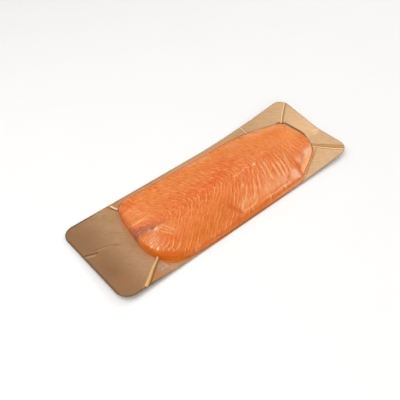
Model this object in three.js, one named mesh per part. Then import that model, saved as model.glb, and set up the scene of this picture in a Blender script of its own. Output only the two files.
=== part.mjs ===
// A side of smoked salmon on a gold card, under clear film drawn down over both.
// Millimetres. X runs along the card, Y across it and Z up. Z = 0 is the level the card rests on.
import * as THREE from 'three';
import { mergeVertices } from 'three/addons/utils/BufferGeometryUtils.js';

const { clamp, lerp, smoothstep } = THREE.MathUtils;

// ---------------------------------------------------------------- driving dimensions

const CARD_LENGTH = 400;
const CARD_WIDTH = 138;
const CARD_THICKNESS = 1.2;
const CARD_CORNER_RADIUS = 17.5;
const CARD_COLUMNS = 24;
const CARD_ROWS = 8;
const CORNER_STEPS = 6;

// The card is flat between two stations and curls up towards both ends. The right end is also
// folded along a line just on the near side of the middle.
const FLAT_FROM_X = -40;
const FLAT_TO_X = 30;
const CURL_POWER = 1.5;
const RIGHT_LIFT = 7.3;
const RIGHT_TWIST = 3.1;
const LEFT_LIFT = 4.0;
const LEFT_TWIST = -2.9;
const FOLD_DEPTH = 7.0;
const FOLD_LINE = -0.12;
const FOLD_SOFTNESS = 0.12;

// A small nick in the far long edge.
const NICK_X = 137;
const NICK_HALF_LENGTH = 3;
const NICK_DEPTH = 0.9;

// Outline of the salmon on the card, anticlockwise from the near left corner.
const NEAR_EDGE = [
  [-131, -42], [-123, -54], [-108, -62], [-80, -66], [0, -66.8],
  [80, -66.4], [103, -65], [118, -57.5], [138, -48],
];
const RIGHT_END = [[155, -38], [164, -26], [171, -12], [173.5, 0], [171, 16]];
const FAR_EDGE = [
  [163, 30], [140, 39.5], [115, 48.5], [85, 54.5],
  [45, 56.5], [-20, 57.5], [-90, 58.5], [-109, 59],
];
const LEFT_END = [[-121, 53], [-128, 36], [-133, 15], [-136, -8], [-136, -26]];
const OUTLINE_STEPS = 8;

// Thickness of the salmon: thick along the loin, thinner to the long edges, the tail and the head end.
// A span is the pair of places between which something changes.
const EDGE_THICKNESS = 9.0;
const LOIN_THICKNESS = 15.0;
const LOIN_Y = 8;
const LOIN_SPREAD = 34;
const TAIL_THINNING = 0.42;
const TAIL_SPAN_X = [20, 150];
const HEAD_THINNING = 0.13;
const HEAD_SPAN_X = [-135, -85];

// The rim stands up from the card, then rounds over: tightly on the near side, gently on the far side.
const RIM_STAND = 0.16;
const RIM_RADIUS_NEAR = 3.5;
const RIM_RADIUS_FAR = 8;
const RIM_RADIUS_SPAN_Y = [-45, 30];

// A thin flange of flesh lies outside a crease at the near right corner. It fades out along the
// rim, with distance past the crease, and into the salmon, with distance from the rim.
const FLANGE_FROM = [105, -64];
const FLANGE_TO = [117, -44];
const FLANGE_THINNING = 0.6;
const FLANGE_THINNING_UNDER_FILM = 0.3;
const CREASE_SPAN = [0, 3];
const FLANGE_END_SPAN = [12, 36];
const FLANGE_INNER_SPAN = [7, 14];

// A knob of flesh stands up at the far left corner.
const KNOB = [-107, 51];
const KNOB_HEIGHT = 2.0;
const KNOB_RADIUS = 8;

// Flakes: V-shaped ridges that point along +X from a spine line, leaning back on both sides of it.
const SPINE_Y = -3;
const FLAKE_PITCH = 6.4;
const FLAKE_DROP = 1.7;
const FLAKE_DEPTH_NEAR = 0.55;
const FLAKE_DEPTH_FAR = 0.3;
const FLAKE_FADE_SPAN = [1, 7];
const APEX_ROUNDING = 8;
const REACH_HALVINGS = 40;

// How far a flake line leans back per millimetre from the spine: at the head end, then along the
// body. It stands almost straight across at the tail.
const LEAN_NEAR_HEAD = 0.75;
const LEAN_NEAR_BODY = 1.25;
const LEAN_NEAR_TAIL_SPAN_X = [0, 150];
const LEAN_FAR_HEAD = 1.1;
const LEAN_FAR_BODY = 0.6;
const LEAN_FAR_TAIL_SPAN_X = [90, 165];
const LEAN_HEAD_SPAN_X = [-115, -60];

// Rows of points along a flake line: evenly spaced inside, at set distances near the rim. The rim
// rows take up at most a share of a short line. The underside has one row between spine and rim.
const RIM_ROWS = [0, 0.8, 2, 4, 8];
const RIM_SHARE = 0.6;
const INNER_ROWS = 5;
const UNDERSIDE_ROW = 3;

// Clearance between pieces that rest on each other, and the film.
const REST_GAP = 0.3;
const FILM_GAP = 0.5;
const FILM_SIDE_GAP = 0.6;
const FILM_THICKNESS = 0.35;
const FILM_INSET = 0.4;
const LIFT_OFF = 3;
const STEEPEST_STRETCH = 2.2;
const SLOPE_STEP = 0.5;

// The film's points lie on loops inside the salmon's outline, at set distances from it, and on
// loops between the outline and the film's edge, at set shares of the way. They are gathered
// towards the pleats and, on the edge, into its corners.
const FILM_LOOPS = [9, 5.5, 3, 1.2, 0];
const RING_SHARES = [0.36, 0.66, 0.92, 1];
const FILM_GATHERING = 0.3;
const EDGE_SAMPLES = 800;
const CORNER_WEIGHT = 4;

// The film hangs free in a strip around the salmon, which is wider along the middle of the far side.
const TENT_WIDTH = 1.8;
const TENT_WIDTH_FAR = 7;
const TENT_SHARE_OF_RING = 0.9;
const TENT_FAR_SPAN_Y = [25, 45];
const TENT_HEAD_SPAN_X = [-122, -100];
const TENT_TAIL_SPAN_X = [60, 110];

// Pleats, anticlockwise from the near left corner: start on the salmon's outline, end on the film's
// edge, width at each, height of the crest, and the columns of film from it to the next pleat.
const PLEATS = [
  { from: [-131, -42], to: [-169, -68.6], widths: [2.0, 3.2], height: 1.6, columns: 32 },
  { from: [163, -27.5], to: [193.5, -64.6], widths: [3.2, 4.2], height: 2.0, columns: 14 },
  { from: [161.5, 31], to: [199.3, 58.2], widths: [2.4, 2.6], height: 2.4, columns: 7 },
  { from: [111, 49.6], to: [112, 68.6], widths: [1.6, 2.0], height: 1.2, columns: 25 },
  { from: [-121, 53], to: [-127, 68.6], widths: [1.8, 2.2], height: 1.8, columns: 14 },
];
const FILM_COLUMNS = PLEATS[0].columns;
const FILM_ROWS = PLEATS[1].columns;

// Across a pleat: a foot, the two sides of its crest, a foot. Along it, the crest is an arch.
const PLEAT_PROFILE = [
  { sideways: -1, crest: 0 },
  { sideways: -0.4, crest: 1 },
  { sideways: 0.4, crest: 1 },
  { sideways: 1, crest: 0 },
];
const PLEAT_ARCH_SPAN = [0.12, 0.88];

// Points closer than this are one point.
const SAME_PLACE = 1e-3;
const WELD_DISTANCE = 1e-4;

// ---------------------------------------------------------------- heights

// Rises smoothly from 0 to 1 across a span.
function rise(value, [from, to]) {
  return smoothstep(value, from, to);
}

// Height of the card's underside above the rest level.
function cardUnderside(x, y) {
  const across = y / (CARD_WIDTH / 2);
  const right = Math.max(0, (x - FLAT_TO_X) / (CARD_LENGTH / 2 - FLAT_TO_X));
  const left = Math.max(0, (FLAT_FROM_X - x) / (CARD_LENGTH / 2 + FLAT_FROM_X));
  const fold = Math.hypot(across - FOLD_LINE, FOLD_SOFTNESS) - FOLD_SOFTNESS;
  return (RIGHT_LIFT + RIGHT_TWIST * across) * right ** CURL_POWER
    + FOLD_DEPTH * fold * right ** 2
    + (LEFT_LIFT + LEFT_TWIST * across) * left ** CURL_POWER;
}

function cardTop(x, y) {
  return cardUnderside(x, y) + CARD_THICKNESS;
}

const OUTLINE = new THREE.CatmullRomCurve3(
  [...NEAR_EDGE, ...RIGHT_END, ...FAR_EDGE, ...LEFT_END].map(([x, y]) => new THREE.Vector3(x, y, 0)),
  true,
  'centripetal',
);
const outlinePoints = OUTLINE.getPoints(OUTLINE.points.length * OUTLINE_STEPS);

// Distance from the salmon's outline, positive inside it.
function rimDistance(x, y) {
  let nearest = Infinity;
  let inside = false;
  for (let i = 1; i < outlinePoints.length; i += 1) {
    const a = outlinePoints[i - 1];
    const b = outlinePoints[i];
    const edgeX = b.x - a.x;
    const edgeY = b.y - a.y;
    const along = clamp(((x - a.x) * edgeX + (y - a.y) * edgeY) / (edgeX ** 2 + edgeY ** 2), 0, 1);
    nearest = Math.min(nearest, Math.hypot(x - a.x - along * edgeX, y - a.y - along * edgeY));
    if ((a.y > y) !== (b.y > y) && x < a.x + edgeX * (y - a.y) / edgeY) {
      inside = !inside;
    }
  }
  return inside ? nearest : -nearest;
}

// Distance of a point to the right of the crease that sets off the flange.
function pastCrease(x, y) {
  const runX = FLANGE_TO[0] - FLANGE_FROM[0];
  const runY = FLANGE_TO[1] - FLANGE_FROM[1];
  return ((x - FLANGE_FROM[0]) * runY - (y - FLANGE_FROM[1]) * runX) / Math.hypot(runX, runY);
}

// Thickness of the salmon before the flakes are pressed in.
function salmonThickness(x, y, distance, flangeThinning = FLANGE_THINNING) {
  const loin = Math.exp(-(((y - LOIN_Y) / LOIN_SPREAD) ** 2));
  const knob = Math.exp(-((x - KNOB[0]) ** 2 + (y - KNOB[1]) ** 2) / KNOB_RADIUS ** 2);
  const past = pastCrease(x, y);
  const flange = rise(past, CREASE_SPAN)
    * (1 - rise(past, FLANGE_END_SPAN))
    * (1 - rise(distance, FLANGE_INNER_SPAN));
  const full = lerp(EDGE_THICKNESS, LOIN_THICKNESS, loin)
    * (1 - TAIL_THINNING * rise(x, TAIL_SPAN_X))
    * (1 - HEAD_THINNING * (1 - rise(x, HEAD_SPAN_X)))
    * (1 - flangeThinning * flange)
    + KNOB_HEIGHT * knob;
  const radius = lerp(RIM_RADIUS_NEAR, RIM_RADIUS_FAR, rise(y, RIM_RADIUS_SPAN_Y));
  const inward = clamp(distance / radius, 0, 1);
  const rounded = Math.sqrt(1 - (1 - inward) ** 2);
  return full * lerp(RIM_STAND, 1, rounded);
}

// ---------------------------------------------------------------- building surfaces

// Triangles of a sheet given as rows of points. Seen from above with rows running away from the
// viewer and points running to the right, the sheet faces up.
function sheet(rows, facesUp = true) {
  const triangles = [];
  for (let r = 1; r < rows.length; r += 1) {
    for (let c = 1; c < rows[r].length; c += 1) {
      const nearLeft = rows[r - 1][c - 1];
      const nearRight = rows[r - 1][c];
      const farLeft = rows[r][c - 1];
      const farRight = rows[r][c];
      if (facesUp) {
        triangles.push([nearLeft, nearRight, farRight], [nearLeft, farRight, farLeft]);
      } else {
        triangles.push([nearLeft, farRight, nearRight], [nearLeft, farLeft, farRight]);
      }
    }
  }
  return triangles;
}

// An indexed geometry with shared corners. Triangles with two corners in one place are left out.
function solidGeometry(triangles) {
  const apart = (a, b) => a.distanceTo(b) > SAME_PLACE;
  const kept = triangles.filter(([a, b, c]) => apart(a, b) && apart(b, c) && apart(c, a));
  const soup = new THREE.BufferGeometry().setFromPoints(kept.flat());
  return mergeVertices(soup, WELD_DISTANCE);
}

function lift(points, height) {
  return points.map((p) => new THREE.Vector3(p.x, p.y, height(p.x, p.y)));
}

function namedMesh(name, geometry, look) {
  geometry.computeVertexNormals();
  const mesh = new THREE.Mesh(geometry, new THREE.MeshStandardMaterial(look));
  mesh.name = name;
  return mesh;
}

// ---------------------------------------------------------------- card

// Half the card's width at a station along it, less where a corner rounds off.
function cardHalfWidth(x) {
  const intoCorner = Math.max(0, Math.abs(x) - (CARD_LENGTH / 2 - CARD_CORNER_RADIUS));
  const bulge = Math.sqrt(Math.max(0, CARD_CORNER_RADIUS ** 2 - intoCorner ** 2));
  return CARD_WIDTH / 2 - CARD_CORNER_RADIUS + bulge;
}

function cardStations() {
  const straight = CARD_LENGTH / 2 - CARD_CORNER_RADIUS;
  const stations = [NICK_X - NICK_HALF_LENGTH, NICK_X, NICK_X + NICK_HALF_LENGTH];
  for (let i = 0; i <= CARD_COLUMNS; i += 1) {
    stations.push(lerp(-straight, straight, i / CARD_COLUMNS));
  }
  for (let i = 1; i <= CORNER_STEPS; i += 1) {
    const reach = CARD_CORNER_RADIUS * Math.sin((i / CORNER_STEPS) * (Math.PI / 2));
    stations.push(straight + reach, -straight - reach);
  }
  return stations.sort((a, b) => a - b);
}

function buildCard() {
  const columns = cardStations().map((x) => {
    const nick = x === NICK_X ? NICK_DEPTH : 0;
    const points = [];
    for (let r = 0; r <= CARD_ROWS; r += 1) {
      const y = lerp(-cardHalfWidth(x), cardHalfWidth(x) - nick, r / CARD_ROWS);
      points.push(new THREE.Vector3(x, y, 0));
    }
    return points;
  });
  const top = columns.map((points) => lift(points, cardTop));
  const bottom = columns.map((points) => lift(points, cardUnderside));
  const last = columns.length - 1;
  const firstOf = (rows) => rows.map((points) => points[0]);
  const lastOf = (rows) => rows.map((points) => points[CARD_ROWS]);
  return solidGeometry([
    ...sheet(top, false),
    ...sheet(bottom, true),
    ...sheet([firstOf(bottom), firstOf(top)]),
    ...sheet([lastOf(bottom), lastOf(top)], false),
    ...sheet([bottom[0], top[0]], false),
    ...sheet([bottom[last], top[last]]),
  ]);
}

// ---------------------------------------------------------------- salmon

// The lean at the head end comes on top of the body's.
function leanNear(apexX) {
  return LEAN_NEAR_BODY * (1 - rise(apexX, LEAN_NEAR_TAIL_SPAN_X))
    + LEAN_NEAR_HEAD * (1 - rise(apexX, LEAN_HEAD_SPAN_X));
}

function leanFar(apexX) {
  return LEAN_FAR_BODY * (1 - rise(apexX, LEAN_FAR_TAIL_SPAN_X))
    + LEAN_FAR_HEAD * (1 - rise(apexX, LEAN_HEAD_SPAN_X));
}

// Point on the flake line of a given apex, a given distance to one side of the spine.
function flakePoint(apexX, side, fromSpine) {
  const lean = side < 0 ? leanNear(apexX) : leanFar(apexX);
  const back = lean * (Math.hypot(fromSpine, APEX_ROUNDING) - APEX_ROUNDING);
  return new THREE.Vector3(apexX - back, SPINE_Y + side * fromSpine, 0);
}

// Distance from the spine at which a flake line leaves the outline.
function flakeReach(apexX, side) {
  let inside = 0;
  let outside = CARD_WIDTH / 2;
  for (let i = 0; i < REACH_HALVINGS; i += 1) {
    const middle = (inside + outside) / 2;
    const point = flakePoint(apexX, side, middle);
    if (rimDistance(point.x, point.y) > 0) {
      inside = middle;
    } else {
      outside = middle;
    }
  }
  return inside;
}

// The two ends of the spine on the outline.
function spineEnds() {
  const crossings = [];
  for (let i = 1; i < outlinePoints.length; i += 1) {
    const a = outlinePoints[i - 1];
    const b = outlinePoints[i];
    if ((a.y > SPINE_Y) !== (b.y > SPINE_Y)) {
      crossings.push(lerp(a.x, b.x, (SPINE_Y - a.y) / (b.y - a.y)));
    }
  }
  return [Math.min(...crossings), Math.max(...crossings)];
}

// Apexes along the spine: a crest, then the foot of its steep side, again and again. The lines at
// the two tips have no length.
function flakeApexes() {
  const [start, end] = spineEnds();
  const apexes = [{ x: start, crest: true, tip: true }];
  for (let x = start + FLAKE_PITCH / 2; x < end - FLAKE_DROP; x += FLAKE_PITCH) {
    apexes.push({ x, crest: true });
    if (x + FLAKE_DROP < end - FLAKE_DROP) {
      apexes.push({ x: x + FLAKE_DROP, crest: false });
    }
  }
  apexes.push({ x: end, crest: true, tip: true });
  return apexes;
}

// Stations along a flake line, from the spine to the rim, closer together near the rim.
function flakeStations(reach) {
  const stations = [];
  const innerEnd = reach - Math.min(RIM_ROWS.at(-1), reach * RIM_SHARE);
  for (let i = 0; i < INNER_ROWS; i += 1) {
    stations.push(innerEnd * i / INNER_ROWS);
  }
  for (const fromRim of RIM_ROWS.toReversed()) {
    stations.push(reach - fromRim * (reach - innerEnd) / RIM_ROWS.at(-1));
  }
  return stations;
}

// Height of the salmon's top, pressed in by a depth that fades out at the rim.
function salmonTop(x, y, depth) {
  const distance = Math.max(0, rimDistance(x, y));
  const pressed = depth * rise(distance, FLAKE_FADE_SPAN);
  return cardTop(x, y) + REST_GAP + salmonThickness(x, y, distance) - pressed;
}

// One side of the spine: the flaked top, the plain underside and the wall between them. Both
// sides press the spine itself in equally.
function salmonHalf(side) {
  const near = side < 0;
  const sideDepth = near ? FLAKE_DEPTH_NEAR : FLAKE_DEPTH_FAR;
  const spineDepth = Math.min(FLAKE_DEPTH_NEAR, FLAKE_DEPTH_FAR);
  const top = [];
  const bottom = [];
  for (const apex of flakeApexes()) {
    const reach = apex.tip ? 0 : flakeReach(apex.x, side);
    const line = flakeStations(reach).map((fromSpine) => flakePoint(apex.x, side, fromSpine));
    top.push(line.map((p, i) => {
      const footDepth = i === 0 ? spineDepth : sideDepth;
      const depth = apex.crest ? 0 : footDepth;
      return new THREE.Vector3(p.x, p.y, salmonTop(p.x, p.y, depth));
    }));
    const underside = [line[0], line[UNDERSIDE_ROW], line.at(-1)];
    bottom.push(lift(underside, (x, y) => cardTop(x, y) + REST_GAP));
  }
  const wall = [bottom.map((line) => line.at(-1)), top.map((line) => line.at(-1))];
  return [...sheet(top, near), ...sheet(bottom, !near), ...sheet(wall, near)];
}

// ---------------------------------------------------------------- film

// Cuts a closed line into runs, each from the point nearest to one place to that of the next.
function runsBetween(line, places) {
  const cuts = places.map(([x, y]) => {
    const distances = line.map((p) => Math.hypot(p.x - x, p.y - y));
    return distances.indexOf(Math.min(...distances));
  });
  return cuts.map((first, i) => {
    const next = cuts[(i + 1) % cuts.length];
    const last = next > first ? next : next + line.length;
    const run = [];
    for (let j = first; j <= last; j += 1) {
      run.push(line[j % line.length]);
    }
    return run;
  });
}

// Points along a run, gathered towards both of its ends and where the weight is high.
function resample(run, count, weight) {
  const reached = [0];
  for (let i = 1; i < run.length; i += 1) {
    reached.push(reached[i - 1] + run[i].distanceTo(run[i - 1]) * weight(run[i]));
  }
  const samples = [];
  for (let i = 0; i <= count; i += 1) {
    const even = i / count;
    const gathered = (1 - Math.cos(Math.PI * even)) / 2;
    const target = reached.at(-1) * lerp(even, gathered, FILM_GATHERING);
    let j = 1;
    while (j < reached.length - 1 && reached[j] < target) {
      j += 1;
    }
    const part = (target - reached[j - 1]) / (reached[j] - reached[j - 1]);
    samples.push(run[j - 1].clone().lerp(run[j], clamp(part, 0, 1)));
  }
  return samples;
}

// The film's edge, just inside the card's.
function filmEdge() {
  const radius = CARD_CORNER_RADIUS - FILM_INSET;
  const x = CARD_LENGTH / 2 - CARD_CORNER_RADIUS;
  const y = CARD_WIDTH / 2 - CARD_CORNER_RADIUS;
  const quarter = Math.PI / 2;
  const path = new THREE.Path();
  path.absarc(-x, -y, radius, 2 * quarter, 3 * quarter);
  path.absarc(x, -y, radius, 3 * quarter, 4 * quarter);
  path.absarc(x, y, radius, 0, quarter);
  path.absarc(-x, y, radius, quarter, 2 * quarter);
  path.closePath();
  return path.getSpacedPoints(EDGE_SAMPLES).slice(0, -1).map((p) => new THREE.Vector3(p.x, p.y, 0));
}

function edgeWeight(point) {
  const inCorner = Math.abs(point.x) > CARD_LENGTH / 2 - CARD_CORNER_RADIUS
    && Math.abs(point.y) > CARD_WIDTH / 2 - CARD_CORNER_RADIUS;
  return inCorner ? CORNER_WEIGHT : 1;
}

// Columns of film, each from a base point on the salmon's outline to the film's edge. A pleat has
// four, which start at one base point and end at one point.
function filmColumns() {
  const starts = runsBetween(outlinePoints.slice(0, -1), PLEATS.map((pleat) => pleat.from));
  const ends = runsBetween(filmEdge(), PLEATS.map((pleat) => pleat.to));
  let base = -1;
  return PLEATS.flatMap((pleat, i) => {
    const inner = resample(starts[i], pleat.columns, () => 1);
    const outer = resample(ends[i], pleat.columns, edgeWeight);
    base += 1;
    const fold = { base, start: inner[0], end: outer[0], pleat };
    const folded = PLEAT_PROFILE.map((place) => ({ ...fold, ...place }));
    const plain = inner.slice(1, -1).map((start, j) => {
      base += 1;
      return { base, start, end: outer[j + 1] };
    });
    return [...folded, ...plain];
  });
}

// Point of a column at a share of its way out. A pleat's columns stand apart on the way.
function alongColumn(column, share) {
  const spot = column.start.clone().lerp(column.end, share);
  if (!column.pleat || share === 1) {
    return spot;
  }
  const along = column.end.clone().sub(column.start).normalize();
  const offset = column.sideways * lerp(...column.pleat.widths, share) / 2;
  return spot.add(new THREE.Vector3(-along.y * offset, along.x * offset, 0));
}

function crestHeight(column, share) {
  if (!column.pleat || share === 1) {
    return 0;
  }
  const arch = Math.sqrt(Math.sin(Math.PI * lerp(...PLEAT_ARCH_SPAN, share)));
  return column.crest * column.pleat.height * arch;
}

// A loop moved inwards by a distance along its own normals.
function insetLoop(loop, distance) {
  return loop.map((point, i) => {
    const before = loop.at(i - 1);
    const after = loop[(i + 1) % loop.length];
    const tangent = after.clone().sub(before).normalize();
    return new THREE.Vector3(point.x - tangent.y * distance, point.y + tangent.x * distance, 0);
  });
}

// Width of the strip where the film hangs free between the salmon and the card.
function tentWidth(x, y) {
  const farSide = rise(y, TENT_FAR_SPAN_Y)
    * rise(x, TENT_HEAD_SPAN_X)
    * (1 - rise(x, TENT_TAIL_SPAN_X));
  return lerp(TENT_WIDTH, TENT_WIDTH_FAR, farSide);
}

// Height of the film's underside: over the salmon, straight down from its shoulder, over the card.
function filmUnderside(x, y) {
  const distance = rimDistance(x, y) + FILM_SIDE_GAP;
  const onSalmon = distance > 0
    ? salmonThickness(x, y, distance, FLANGE_THINNING_UNDER_FILM) + REST_GAP
    : 0;
  const width = tentWidth(x, y);
  const fall = clamp((distance + width) / (LIFT_OFF + width), 0, 1);
  const tent = fall < 1 ? fall * (salmonThickness(x, y, LIFT_OFF) + REST_GAP) : 0;
  return cardTop(x, y) + FILM_GAP + Math.max(onSalmon, tent);
}

// Rows of points across the inside of a loop that ends at its first point, blended from its sides.
function patchInside(loop) {
  const near = loop.slice(0, FILM_COLUMNS + 1);
  const right = loop.slice(FILM_COLUMNS, FILM_COLUMNS + FILM_ROWS + 1);
  const far = loop.slice(FILM_COLUMNS + FILM_ROWS, 2 * FILM_COLUMNS + FILM_ROWS + 1).reverse();
  const left = loop.slice(2 * FILM_COLUMNS + FILM_ROWS).reverse();
  const rows = [];
  for (let r = 0; r <= FILM_ROWS; r += 1) {
    const v = r / FILM_ROWS;
    const row = [];
    for (let c = 0; c <= FILM_COLUMNS; c += 1) {
      const u = c / FILM_COLUMNS;
      const acrossRows = near[c].clone().lerp(far[c], v);
      const alongColumns = left[r].clone().lerp(right[r], u);
      const corners = near[0].clone().lerp(near[FILM_COLUMNS], u)
        .lerp(far[0].clone().lerp(far[FILM_COLUMNS], u), v);
      row.push(acrossRows.add(alongColumns).sub(corners));
    }
    rows.push(row);
  }
  return rows;
}

// Height of the film's top. Where the film is steep it stands further off its underside, so that
// it is equally thick all over.
function filmTop(x, y) {
  const slopeX = (filmUnderside(x + SLOPE_STEP, y) - filmUnderside(x - SLOPE_STEP, y)) / (2 * SLOPE_STEP);
  const slopeY = (filmUnderside(x, y + SLOPE_STEP) - filmUnderside(x, y - SLOPE_STEP)) / (2 * SLOPE_STEP);
  const stretch = Math.min(Math.hypot(1, slopeX, slopeY), STEEPEST_STRETCH);
  return filmUnderside(x, y) + FILM_THICKNESS * stretch;
}

// The film: a sheet over the salmon and the card, with its pleats as solid ridges.
function buildFilm() {
  const columns = filmColumns();
  const outline = [];
  for (const column of columns) {
    outline[column.base] = column.start;
  }
  const inner = FILM_LOOPS.map((distance) => insetLoop(outline, distance));
  const patch = patchInside([...inner[0], inner[0][0]]);
  const top = inner.map((loop) => lift(columns.map((column) => loop[column.base]), filmTop));
  const bottom = inner.map((loop) => lift(columns.map((column) => loop[column.base]), filmUnderside));

  const contact = columns.map((column) => {
    const gap = column.start.distanceTo(column.end);
    return Math.min(tentWidth(column.start.x, column.start.y) / gap, RING_SHARES[0] * TENT_SHARE_OF_RING);
  });
  for (const shares of [contact, ...RING_SHARES.map((share) => columns.map(() => share))]) {
    const spots = columns.map((column, i) => alongColumn(column, shares[i]));
    bottom.push(lift(spots, filmUnderside));
    top.push(lift(spots, filmTop).map((spot, i) => {
      spot.z += crestHeight(columns[i], shares[i]);
      return spot;
    }));
  }

  const closed = (loops) => loops.map((loop) => [...loop, loop[0]]);
  return solidGeometry([
    ...sheet(patch.map((row) => lift(row, filmTop))),
    ...sheet(patch.map((row) => lift(row, filmUnderside)), false),
    ...sheet(closed(top), false),
    ...sheet(closed(bottom)),
    ...sheet(closed([bottom.at(-1), top.at(-1)])),
  ]);
}

// ---------------------------------------------------------------- assembly

const group = new THREE.Group();
group.name = 'smoked_salmon_pack';

group.add(namedMesh('gold_card', buildCard(), { color: 0xc49a6c, roughness: 0.45, metalness: 0.5 }));
group.add(namedMesh('salmon_side', solidGeometry([...salmonHalf(-1), ...salmonHalf(1)]), {
  color: 0xe8813f,
  roughness: 0.4,
}));
group.add(namedMesh('clear_film', buildFilm(), {
  color: 0xf4efe6,
  roughness: 0.1,
  transparent: true,
  opacity: 0.3,
}));

export default group;
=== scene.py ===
"""A side of smoked salmon on a gold card, under clear film drawn down over both.

Metres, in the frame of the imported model. X runs along the card, Y across it and Z up. Shapes are
worked out in millimetres by the functions below and scaled when the meshes are made.
"""

import math

import bpy
import numpy as np
from mathutils import Matrix, Vector


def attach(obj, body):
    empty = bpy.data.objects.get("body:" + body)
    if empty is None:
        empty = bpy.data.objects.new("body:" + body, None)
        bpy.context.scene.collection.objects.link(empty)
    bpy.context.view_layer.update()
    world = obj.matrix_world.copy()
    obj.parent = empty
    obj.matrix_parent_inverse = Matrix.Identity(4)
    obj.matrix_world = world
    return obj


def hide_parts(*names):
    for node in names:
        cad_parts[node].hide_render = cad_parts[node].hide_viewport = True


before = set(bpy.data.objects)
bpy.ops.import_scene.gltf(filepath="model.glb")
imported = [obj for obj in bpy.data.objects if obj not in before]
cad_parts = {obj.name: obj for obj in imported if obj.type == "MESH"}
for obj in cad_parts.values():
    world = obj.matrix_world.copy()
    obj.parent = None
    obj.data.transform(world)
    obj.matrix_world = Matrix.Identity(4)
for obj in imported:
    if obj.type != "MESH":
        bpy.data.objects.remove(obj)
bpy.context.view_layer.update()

MM = 0.001

# -------- sizes, in millimetres

CARD_LENGTH = 400
CARD_WIDTH = 138
CARD_THICKNESS = 1.2
CORNER_RADIUS = 17.5
NICK_X = 137
NICK_HALF_LENGTH = 3
NICK_DEPTH = 0.9

# The card is flat between two stations and curls up towards both ends. The right end is folded.
FLAT_FROM_X = -40
FLAT_TO_X = 30
CURL_POWER = 1.5
RIGHT_LIFT = 7.3
RIGHT_TWIST = 3.1
LEFT_LIFT = 4.0
LEFT_TWIST = -2.9
FOLD_DEPTH = 7.0
FOLD_LINE = -0.12
FOLD_SOFTNESS = 0.12

# The salmon's outline, anticlockwise from the near left corner.
OUTLINE = np.array([
    (-131, -42), (-123, -54), (-108, -62), (-80, -66), (0, -66.8), (80, -66.4), (103, -65),
    (118, -57.5), (138, -48), (155, -38), (164, -26), (169.6, -12), (171, 1), (168, 16),
    (163, 30), (140, 39.5), (115, 48.5), (85, 54.5), (45, 56.5), (-20, 57.5), (-90, 58.5),
    (-109, 59), (-121, 53), (-128, 36), (-133, 15), (-136, -8), (-136, -26),
], float)
OUTLINE_STEPS = 20

# Thickness of the salmon. A span is the pair of places between which something changes.
EDGE_THICKNESS = 9.0
LOIN_THICKNESS = 15.0
LOIN_Y = 8
LOIN_SPREAD = 34
TAIL_THINNING = 0.42
TAIL_SPAN_X = (20, 150)
HEAD_THINNING = 0.13
HEAD_SPAN_X = (-135, -85)
RIM_STAND = 0.16
RIM_RADIUS_NEAR = 3.5
RIM_RADIUS_FAR = 8
RIM_RADIUS_SPAN_Y = (-45, 30)
TIP_THINNING = 0.38
TIP_SPAN_X = (144, 170)
TIP_SPAN_Y = (-22, 2)
FLANGE_FROM = (105, -64)
FLANGE_TO = (117, -44)
FLANGE_THINNING = 0.6
FLANGE_THINNING_UNDER_FILM = 0.3
CREASE_SPAN = (0, 3)
FLANGE_END_SPAN = (12, 36)
FLANGE_INNER_SPAN = (7, 14)
KNOB = (-107, 51)
KNOB_HEIGHT = 2.0
KNOB_RADIUS = 8

# Flakes: V-shaped ridges that point along +X from the spine line and lean back on both sides.
SPINE_Y = -3
FLAKE_PITCH = 6.4
FLAKE_DROP = 1.7
FLAKE_DEPTH_NEAR = 0.55
FLAKE_DEPTH_FAR = 0.3
FLAKE_FADE_SPAN = (0.3, 3.5)
APEX_ROUNDING = 8
# The lean of the body's flakes, the span in which it ends by the tail, and what the head adds.
LEAN_NEAR = (1.25, (0, 150), 0.75)
LEAN_FAR = (0.6, (90, 165), 1.1)
LEAN_HEAD_SPAN_X = (-115, -60)

# The film.
REST_GAP = 0.3
FILM_GAP = 0.5
FILM_SIDE_GAP = 0.6
FILM_INSET = 0.4
LIFT_OFF = 3
TENT_WIDTH = 1.8
TENT_WIDTH_FAR = 7
TENT_FAR_SPAN_Y = (25, 45)
TENT_HEAD_SPAN_X = (-122, -100)
TENT_TAIL_SPAN_X = (60, 110)

# Pleats: start, end, width at each, height of the crest.
PLEATS = [
    ((-131, -42), (-169, -68.6), (2.0, 3.2), 1.6),
    ((163, -27.5), (193.5, -64.6), (3.2, 4.2), 2.0),
    ((161.5, 31), (198.3, 59.2), (2.4, 2.6), 2.4),
    ((111, 49.6), (112, 68.6), (1.6, 2.0), 1.2),
    ((-121, 53), (-127, 68.6), (1.8, 2.2), 1.8),
]

# How finely things are worked out: halvings in a search, points handled at once, to spare memory,
# and points along a corner and the whole of the film's edge.
HALVINGS = 30
AT_ONCE = 4000
CORNER_POINTS = 25
EDGE_POINTS = 1600
# Random heights repeat after this many bumps. The offset picks the part of them that is used.
LATTICE_SIZE = 64
LATTICE_OFFSET = 100

# The camera, fitted to the card's four edges.
CAMERA_AZIMUTH = -41.9366
CAMERA_ELEVATION = 46.8696
CAMERA_ROLL = 1.0648
CAMERA_DISTANCE = 757.2324
CAMERA_TARGET = (-27.5449, -1.1964, 1.2)
SENSOR_WIDTH = 36
FOCAL_SHARE_OF_WIDTH = 567.87 / 400


# -------- heights

def rise(value, span):
    """Rises smoothly from 0 to 1 across a span."""
    t = np.clip((value - span[0]) / (span[1] - span[0]), 0, 1)
    return t * t * (3 - 2 * t)


def fall(value, span):
    """Falls smoothly from 1 to 0 across a span."""
    return 1 - rise(value, span)


def lerp(a, b, t):
    return a + (b - a) * t


def ridge(value, centre, width):
    """1 at a centre, falling off softly to both sides."""
    return np.exp(-((value - centre) / width) ** 2)


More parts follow.
